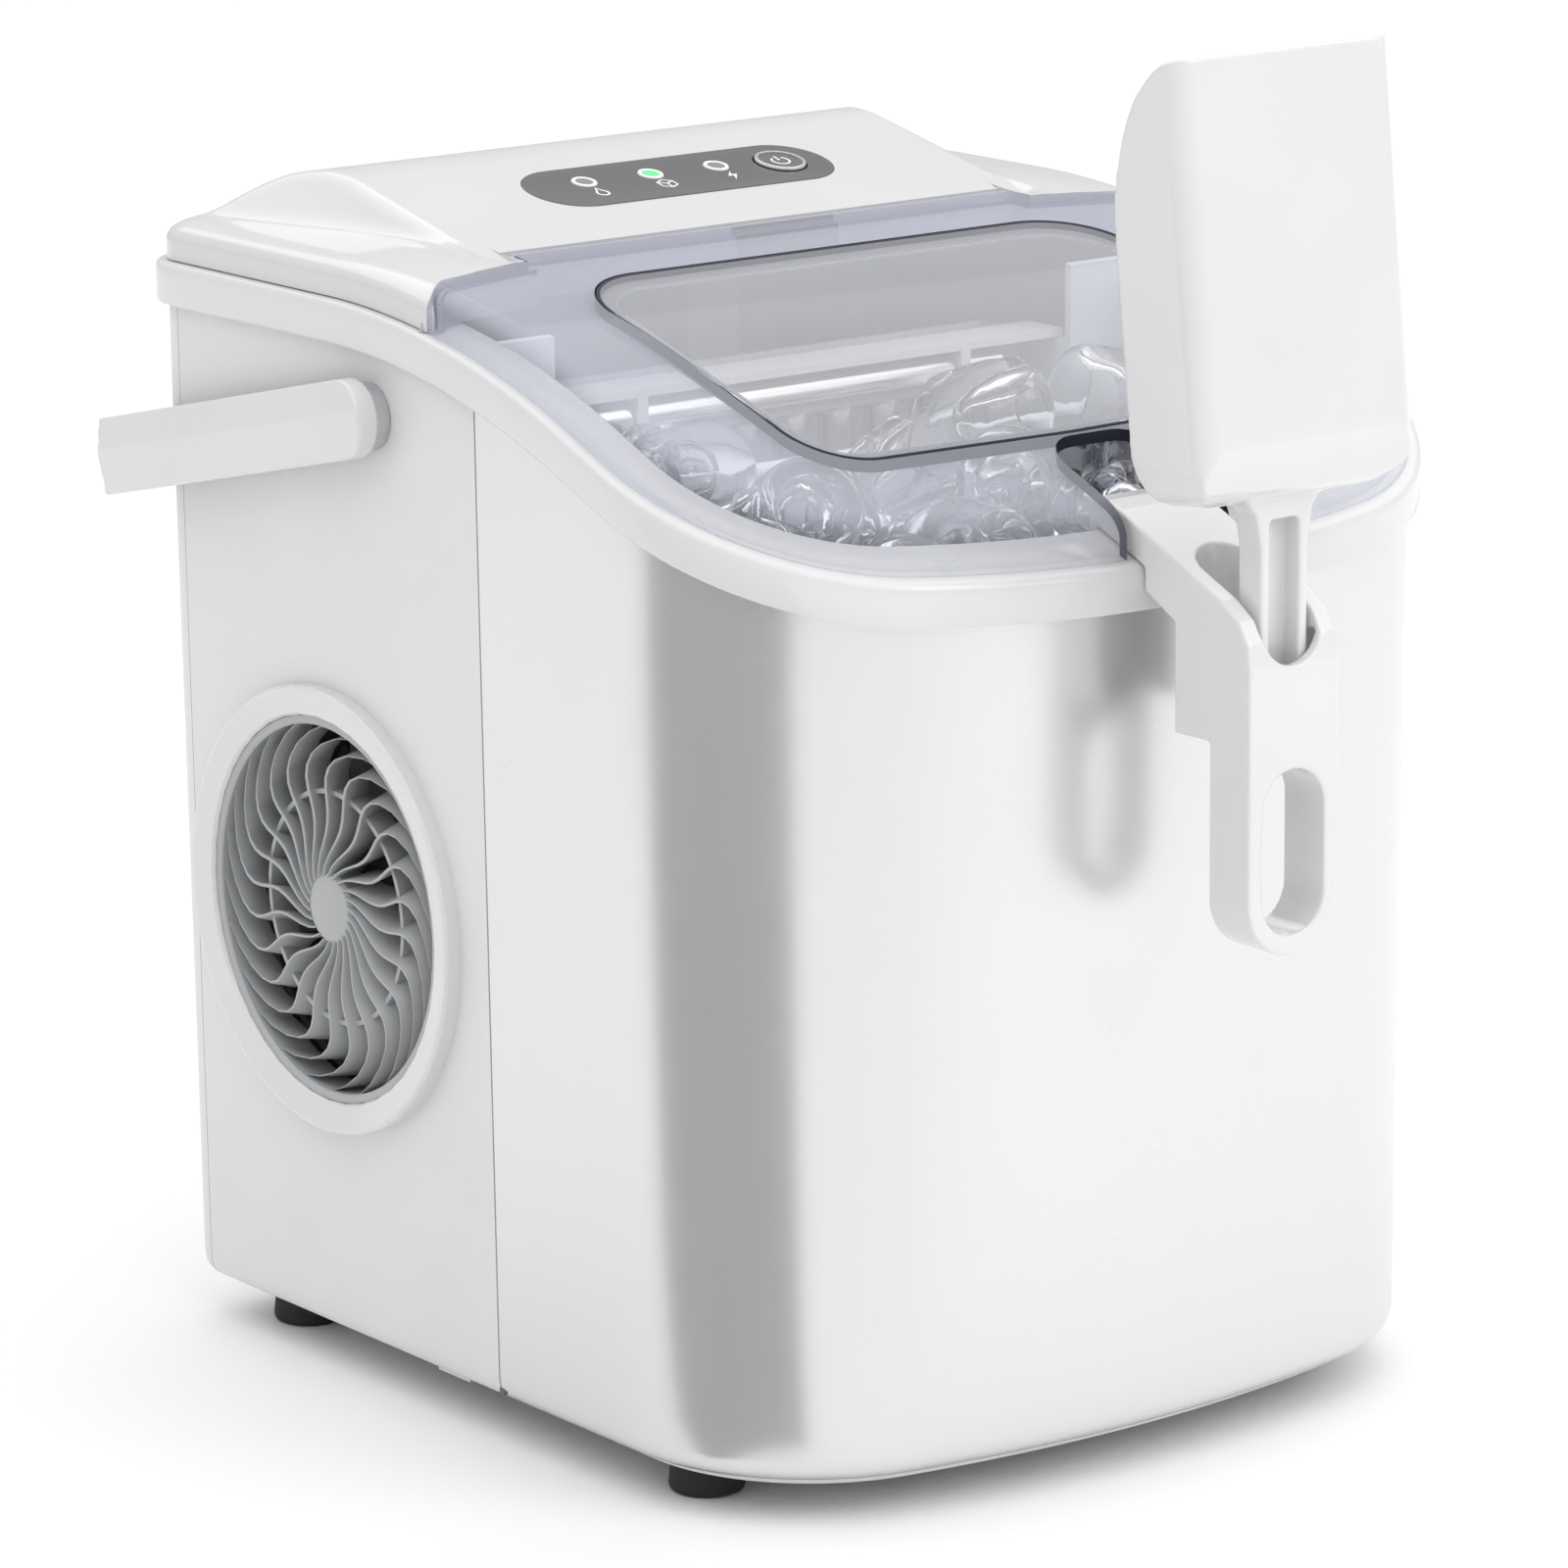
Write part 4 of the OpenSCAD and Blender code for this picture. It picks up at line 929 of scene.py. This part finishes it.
# ---- Scoop holder: a strip hooked over the rim ----
HOLDER_HALF = 13.3
HOLDER_FRONT = -165
HOOK_OUT = -128.3
HOOK_IN = -111.4
THROAT_R = 8.5
SLOT_R = 9.2
RIB = 3
outer = [(-108.5, 206), (-108.5, 230.5), (-114, 230.6), (-120, 229), (-155, 214), (-161, 210), (-164.2, 205),
         (HOLDER_FRONT, 199), (HOLDER_FRONT, 100)]
inner = [(-151, 100), (-151, 200), (HOOK_OUT, 212), (HOOK_OUT, deck(HOOK_OUT) + 10.8),
         (HOOK_IN, deck(HOOK_IN) + 10.8), (HOOK_IN, 206)]
HOLDER_LEFT = SCOOP_X - HOLDER_HALF
HOLDER_RIGHT = SCOOP_X + HOLDER_HALF
holder = prism(outer + inner, "x", HOLDER_LEFT, HOLDER_RIGHT, gloss_white, "holder")
tongue = arc(SCOOP_X, 145.3, HOLDER_HALF, 180, 360, 24) + [(HOLDER_RIGHT, 260), (HOLDER_LEFT, 260)]
combine(holder, prism(tongue, "y", -210, -50, gloss_white), "INTERSECT")
upper = arc(SCOOP_X, -144, THROAT_R, 0, 180, 20) + [(SCOOP_X - THROAT_R, -210), (SCOOP_X + THROAT_R, -210)]
combine(holder, prism(upper, "z", 207.5, 260, gloss_white))
throat = arc(SCOOP_X, 207.5, THROAT_R, 180, 360, 20) + [(SCOOP_X + THROAT_R, 262), (SCOOP_X - THROAT_R, 262)]
combine(holder, prism(throat, "y", -210, -153, gloss_white))
deep = arc(SCOOP_X, -144, 8.4, 0, 180, 20) + [(SCOOP_X - 8.4, -156), (SCOOP_X + 8.4, -156)]
combine(holder, prism(deep, "z", 190, 262, gloss_white))
hollow = box_points((HOLDER_LEFT + RIB, HOLDER_RIGHT - RIB), (-162, -130))
combine(holder, prism(hollow, "z", 180, 206, gloss_white))
slot = arc(SCOOP_X, 146, SLOT_R, 180, 360, 24) + arc(SCOOP_X, 166, SLOT_R, 0, 180, 24)
combine(holder, prism(slot, "y", -210, -100, gloss_white))
for x in (HOLDER_LEFT, HOLDER_RIGHT - RIB):
    rib = prism(box_points((x, x + RIB), (-152, -139)), "z", 181, 206, gloss_white)
    combine(holder, rib, "UNION")
soften(holder, 0.42, 7)
settle(holder, "holder", ["scoop_holder"])

# ---- Scoop: a deep bowl on a channel grip ----
BOWL_HW = 33.0
BOWL_H = 100.0
BOWL_D = 24.0
BOWL_R = 14
BOWL_WALL = 2.2
BOWL_FOOT = (SCOOP_X, -172, 238)
MOUTH_Z = 60
LEAN = math.radians(6.5)
GRIP_R = 7
GRIP_Z = 190
CHANNEL_R = 4.2


def bowl_form(t):
    """The bowl's outer form, or its hollow when t is the wall."""
    right = [(BOWL_HW - t, BOWL_D + 1)] + arc(BOWL_HW - 6.5, 5.5, 5.5 - t, -4, -90, 12)
    plan = right + [(-x, y) for x, y in reversed(right)]
    form = prism(plan, "z", t, BOWL_H + 8, gloss_white, "bowl")
    if t:
        side_view = arc(BOWL_R, BOWL_R, BOWL_R - t, 270, 180, 12)
        side_view += [(t, BOWL_H + 11), (BOWL_D + 5, BOWL_H + 11), (BOWL_D + 5, t)]
    else:
        side_view = arc(BOWL_R, BOWL_R, BOWL_R, 270, 180, 12)
        turns = [i * math.pi / 48 for i in range(25)]
        side_view += [(BOWL_D * math.sin(a), MOUTH_Z + (BOWL_H - MOUTH_Z) * math.cos(a)) for a in turns]
        side_view += [(BOWL_D, 0)]
    combine(form, prism(side_view, "x", -60, 60, gloss_white), "INTERSECT")
    face_view = arc(-BOWL_HW + BOWL_R, BOWL_R, BOWL_R - t, 180, 270, 12)
    face_view += arc(BOWL_HW - BOWL_R, BOWL_R, BOWL_R - t, 270, 360, 12)
    face_view += [(BOWL_HW - t, 120), (-BOWL_HW + t, 120)]
    combine(form, prism(face_view, "y", -5, 60, gloss_white), "INTERSECT")
    return form


scoop = bowl_form(0)
combine(scoop, bowl_form(BOWL_WALL))
lean = Matrix.Translation(Vector(BOWL_FOOT) * MM) @ Matrix.Rotation(-LEAN, 4, "X")
back_to_body = Matrix.Translation(Vector((0, SHIFT, 0)) * MM)
scoop.data.transform(back_to_body @ lean @ back_to_body.inverted())
grip_right = [(GRIP_R, 226), (8.5, 234), (13, 239.4)]
grip_face = arc(SCOOP_X, GRIP_Z, GRIP_R, 180, 360, 20) + [(SCOOP_X + x, z) for x, z in grip_right]
grip_face += [(SCOOP_X - x, z) for x, z in reversed(grip_right)]
grip = prism(grip_face, "y", -161.3, -153.3, gloss_white)
channel = arc(SCOOP_X, GRIP_Z, CHANNEL_R, 180, 360, 16)
channel += [(SCOOP_X + CHANNEL_R, 232), (SCOOP_X - CHANNEL_R, 232)]
combine(grip, prism(channel, "y", -200, -156.2, gloss_white))
combine(scoop, grip, "UNION")
soften(scoop, 0.45, 9)
settle(scoop, "scoop", ["scoop"])

# ---- Ice: hollow bullets dropped into the basket ----
random.seed(7)
ICE_R = 12.6
ICE_L = 31.0
HULL_STEPS = 10
ICE_STEPS = 28


def bullet_hull():
    """A coarse form of the ice, for the fall."""
    n = HULL_STEPS
    profile = [(ICE_R - 1, 0), (ICE_R + 0.4, 2), (ICE_R + 0.3, ICE_L - ICE_R), (ICE_R * 0.75, ICE_L - 4),
               (3, ICE_L)]
    verts = []
    for r, h in profile:
        for i in range(n):
            a = 2 * math.pi * i / n
            verts.append((r * math.cos(a) * MM, r * math.sin(a) * MM, (h - ICE_L / 2) * MM))
    faces = []
    last = (len(profile) - 1) * n
    for j in range(0, last, n):
        for i in range(n):
            m = (i + 1) % n
            faces.append((j + i, j + m, j + n + m, j + n + i))
    faces += [tuple(range(n - 1, -1, -1)), tuple(range(last, last + n))]
    mesh = bpy.data.meshes.new("hull")
    mesh.from_pydata(verts, [], faces)
    return mesh


def bullet_mesh():
    """A thimble of clear ice: rounded nose, thick wall, rough open end."""
    profile = [(0.0, ICE_L)]
    for k in range(1, 9):
        a = math.radians(90 - k * 90 / 8)
        profile.append((ICE_R * math.cos(a), ICE_L - ICE_R + ICE_R * math.sin(a)))
    profile += [(ICE_R + 0.3, ICE_L * 0.3), (ICE_R + 0.2, 2.2), (ICE_R - 1.4, 0.3), (8.4, 0.0), (7.2, 1.2)]
    profile += [(6.6, 9.0), (5.4, 15.0), (3.2, 18.5), (0.0, 19.6)]
    steps = ICE_STEPS
    verts = []
    for j, (r, h) in enumerate(profile):
        for i in range(steps):
            a = 2 * math.pi * i / steps
            wob = 1 + 0.025 * math.sin(3 * a + h * 0.3) + 0.012 * math.sin(7 * a + j)
            verts.append((r * wob * math.cos(a) * MM, r * wob * math.sin(a) * MM, (h - ICE_L / 2) * MM))
    faces = []
    for j in range(len(profile) - 1):
        for i in range(steps):
            m = (i + 1) % steps
            faces.append((j * steps + i, j * steps + m, (j + 1) * steps + m, (j + 1) * steps + i))
    mesh = bpy.data.meshes.new("bullet")
    mesh.from_pydata(verts, [], faces)
    bm = bmesh.new()
    bm.from_mesh(mesh)
    bmesh.ops.remove_doubles(bm, verts=bm.verts, dist=1e-6)
    bmesh.ops.recalc_face_normals(bm, faces=bm.faces)
    bm.to_mesh(mesh)
    bm.free()
    mesh.materials.append(ice_clear)
    mesh.shade_smooth()
    return mesh


BASKET_FLOOR = 121.0
DROP_X = 90
DROP_BACK = -32
DROP_FRONT = -104
DROP_CORNER = 25
WALLS_FOOT = 100
WALLS_TOP = 400
ICE_ROW = 5
ICE_LAYER = 10
ICE_START = (-68, -85, 142)
ICE_STEP = (34, 33, 35)
ICE_COUNT = 74
ICE_ROOM = 12
ICE_PUSH = 16
DROP_FRAMES = 70
DROP_SUBSTEPS = 12


def wall_box(name, low, high):
    """A plain block from its low corner to its high corner."""
    mesh = bpy.data.meshes.new(name)
    points = [place(x, y, z) for x in (low[0], high[0]) for y in (low[1], high[1]) for z in (low[2], high[2])]
    faces = [(0, 1, 3, 2), (4, 6, 7, 5), (0, 4, 5, 1), (2, 3, 7, 6), (0, 2, 6, 4), (1, 5, 7, 3)]
    mesh.from_pydata(points, [], faces)
    obj = bpy.data.objects.new(name, mesh)
    scene.collection.objects.link(obj)
    return obj


def drop_ice(count):
    """Lets the bullets fall between fixed walls under the lid and returns where they come to rest."""
    cut = DROP_X - DROP_CORNER
    cut_y = DROP_FRONT + DROP_CORNER
    walls = [wall_box("w", (-120, -140, BASKET_FLOOR - 20), (120, 10, BASKET_FLOOR)),
             wall_box("w", (-120, DROP_BACK, BASKET_FLOOR), (120, 10, WALLS_TOP)),
             wall_box("w", (-140, -140, WALLS_FOOT), (-DROP_X, 20, WALLS_TOP)),
             wall_box("w", (DROP_X, -140, WALLS_FOOT), (140, 20, WALLS_TOP)),
             wall_box("w", (-120, -150, WALLS_FOOT), (120, DROP_FRONT, WALLS_TOP)),
             prism([(cut, DROP_FRONT), (DROP_X, DROP_FRONT), (DROP_X, cut_y)], "z", WALLS_FOOT,
                   WALLS_TOP, white),
             prism([(-cut, DROP_FRONT), (-DROP_X, cut_y), (-DROP_X, DROP_FRONT)], "z", WALLS_FOOT,
                   WALLS_TOP, white)]
    shape = bullet_hull()
    bodies = []
    for i in range(count):
        obj = bpy.data.objects.new("ice", shape)
        scene.collection.objects.link(obj)
        layer = i // ICE_LAYER
        spot = i % ICE_LAYER
        x = ICE_START[0] + ICE_STEP[0] * (spot % ICE_ROW) + random.uniform(-2, 2)
        y = ICE_START[1] + ICE_STEP[1] * (spot // ICE_ROW) + random.uniform(-1, 1)
        z = ICE_START[2] + layer * ICE_STEP[2] + random.uniform(0, 2)
        obj.location = place(x, y, z)
        obj.rotation_mode = "QUATERNION"
        obj.rotation_quaternion = Vector((random.uniform(-1, 1), random.uniform(-1, 1),
                                          random.uniform(-0.5, 0.5))).to_track_quat("Z", "Y")
        bodies.append(obj)
    scene.gravity = (0, 9.81 * math.sin(SLOPE), -9.81 * math.cos(SLOPE))
    bpy.ops.rigidbody.world_add()
    world = scene.rigidbody_world
    world.collection = bpy.data.collections.new("falling")
    for obj in walls + bodies:
        world.collection.objects.link(obj)
    for obj in walls + bodies:
        obj.rigid_body.type = "PASSIVE" if obj in walls else "ACTIVE"
        obj.rigid_body.collision_shape = "CONVEX_HULL"
        obj.rigid_body.use_margin = True
        obj.rigid_body.collision_margin = 0.0002
        obj.rigid_body.friction = 0.35
        obj.rigid_body.restitution = 0.05
        obj.rigid_body.mass = 0.013
        obj.rigid_body.linear_damping = 0.2
        obj.rigid_body.angular_damping = 0.4
    world.substeps_per_frame = DROP_SUBSTEPS
    world.solver_iterations = DROP_SUBSTEPS
    world.point_cache.frame_start = 1
    world.point_cache.frame_end = DROP_FRAMES
    for f in range(1, DROP_FRAMES + 1):
        scene.frame_set(f)
    graph = bpy.context.evaluated_depsgraph_get()
    poses = [obj.evaluated_get(graph).matrix_world.copy() for obj in bodies]
    scene.frame_set(1)
    for obj in walls + bodies:
        bpy.data.objects.remove(obj)
    bpy.ops.rigidbody.world_remove()
    return poses


# A piece that ends up a little too high is pressed down under the lid; one far too high is left out.
shape = bullet_mesh()
number = 0
for pose in drop_ice(ICE_COUNT):
    corners = [pose @ v.co / MM for v in shape.vertices]
    over = max(p.z - deck(p.y - SHIFT) - ICE_ROOM for p in corners)
    if over > ICE_PUSH or min(p.z for p in corners) < BASKET_FLOOR - 2:
        continue
    if over > 0:
        pose.translation.z -= over * MM
    piece = bpy.data.objects.new("ice_%02d" % number, shape)
    scene.collection.objects.link(piece)
    piece.matrix_world = pose
    settle(piece, "basket", ())
    number += 1

# ---- Studio ----
SKY_LEVEL = 0.62
TOP_SIZE = (8.0, 8.0)
TOP_POWER = 190
KEY_SIZE = (1.2, 1.2)
KEY_POWER = 11
FLOOR_HALF = 4000
DARK_LEVEL = 0.37
BRIGHT_LEVEL = 1.14
SECTOR_NEAR = 0.04
SECTOR_FAR = 3.0
SECTOR_CENTRE = (-0.085, -0.09)
SECTOR_LIFT = 0.003
SECTOR_STEPS = 12
CAMERA_SPOT = (-1019.7, -1318.9, 544.3)
CAMERA_RIGHT = (0.79372, -0.60834, -0.00948)
CAMERA_BACK = (-0.5896, -0.7729, 0.2346)

floor_material = finish_of("studio_floor", (0.93, 0.93, 0.93), 0.6, bump=0.0, vary=0.005)
floor = wall_box("floor", (-FLOOR_HALF, -FLOOR_HALF, -6), (FLOOR_HALF, FLOOR_HALF, 0))
floor.data.materials.append(floor_material)

world = bpy.data.worlds.new("studio")
scene.world = world
world.use_nodes = True
sky = world.node_tree
background = sky.nodes["Background"]
background.inputs["Color"].default_value = (1.0, 1.0, 1.0, 1.0)
background.inputs["Strength"].default_value = SKY_LEVEL


def soft_light(name, spot, target, size, power):
    """A rectangular light aimed at a point."""
    data = bpy.data.lights.new(name, "AREA")
    data.shape = "RECTANGLE"
    data.size = size[0]
    data.size_y = size[1]
    data.energy = power
    obj = bpy.data.objects.new(name, data)
    scene.collection.objects.link(obj)
    obj.location = spot
    obj.rotation_mode = "QUATERNION"
    obj.rotation_quaternion = (Vector(target) - Vector(spot)).to_track_quat("-Z", "Y")
    return obj


soft_light("top", (0.2, -0.2, 3.0), (0, 0, 0), TOP_SIZE, TOP_POWER)
soft_light("key", (1.1, -2.2, 1.5), (0, 0, 0.15), KEY_SIZE, KEY_POWER)


def reflector(name, start, end, level):
    """A sector of the floor that shows only in reflections, brighter or darker than the rest."""
    points = []
    n = SECTOR_STEPS
    for r in (SECTOR_NEAR, SECTOR_FAR):
        for k in range(n + 1):
            a = math.radians(start + (end - start) * k / n)
            points.append((SECTOR_CENTRE[0] + r * math.cos(a), SECTOR_CENTRE[1] + r * math.sin(a), SECTOR_LIFT))
    mesh = bpy.data.meshes.new(name)
    mesh.from_pydata(points, [], [(k, k + 1, k + n + 2, k + n + 1) for k in range(n)])
    obj = bpy.data.objects.new(name, mesh)
    scene.collection.objects.link(obj)
    mat = bpy.data.materials.new(name)
    mat.use_nodes = True
    shader = mat.node_tree.nodes["Principled BSDF"]
    shader.inputs["Base Color"].default_value = (0, 0, 0, 1)
    shader.inputs["Specular IOR Level"].default_value = 0.0
    shader.inputs["Emission Color"].default_value = (1, 1, 1, 1)
    shader.inputs["Emission Strength"].default_value = level
    mesh.materials.append(mat)
    obj.visible_camera = False
    obj.visible_shadow = False
    obj.visible_diffuse = False
    return obj


reflector("dark_sector", 150, 224, DARK_LEVEL)
reflector("bright_sector", 238, 292, BRIGHT_LEVEL)

camera_data = bpy.data.cameras.new("camera")
camera_data.lens = 162.0
camera_data.sensor_width = 36.0
camera_data.clip_end = 20
camera = bpy.data.objects.new("camera", camera_data)
scene.collection.objects.link(camera)
right = Vector(CAMERA_RIGHT).normalized()
back = Vector(CAMERA_BACK).normalized()
up = back.cross(right).normalized()
turn = Matrix((right, up, back)).transposed().to_4x4()
camera.matrix_world = Matrix.Translation(place(*CAMERA_SPOT)) @ turn
scene.camera = camera
scene.view_settings.view_transform = "Standard"
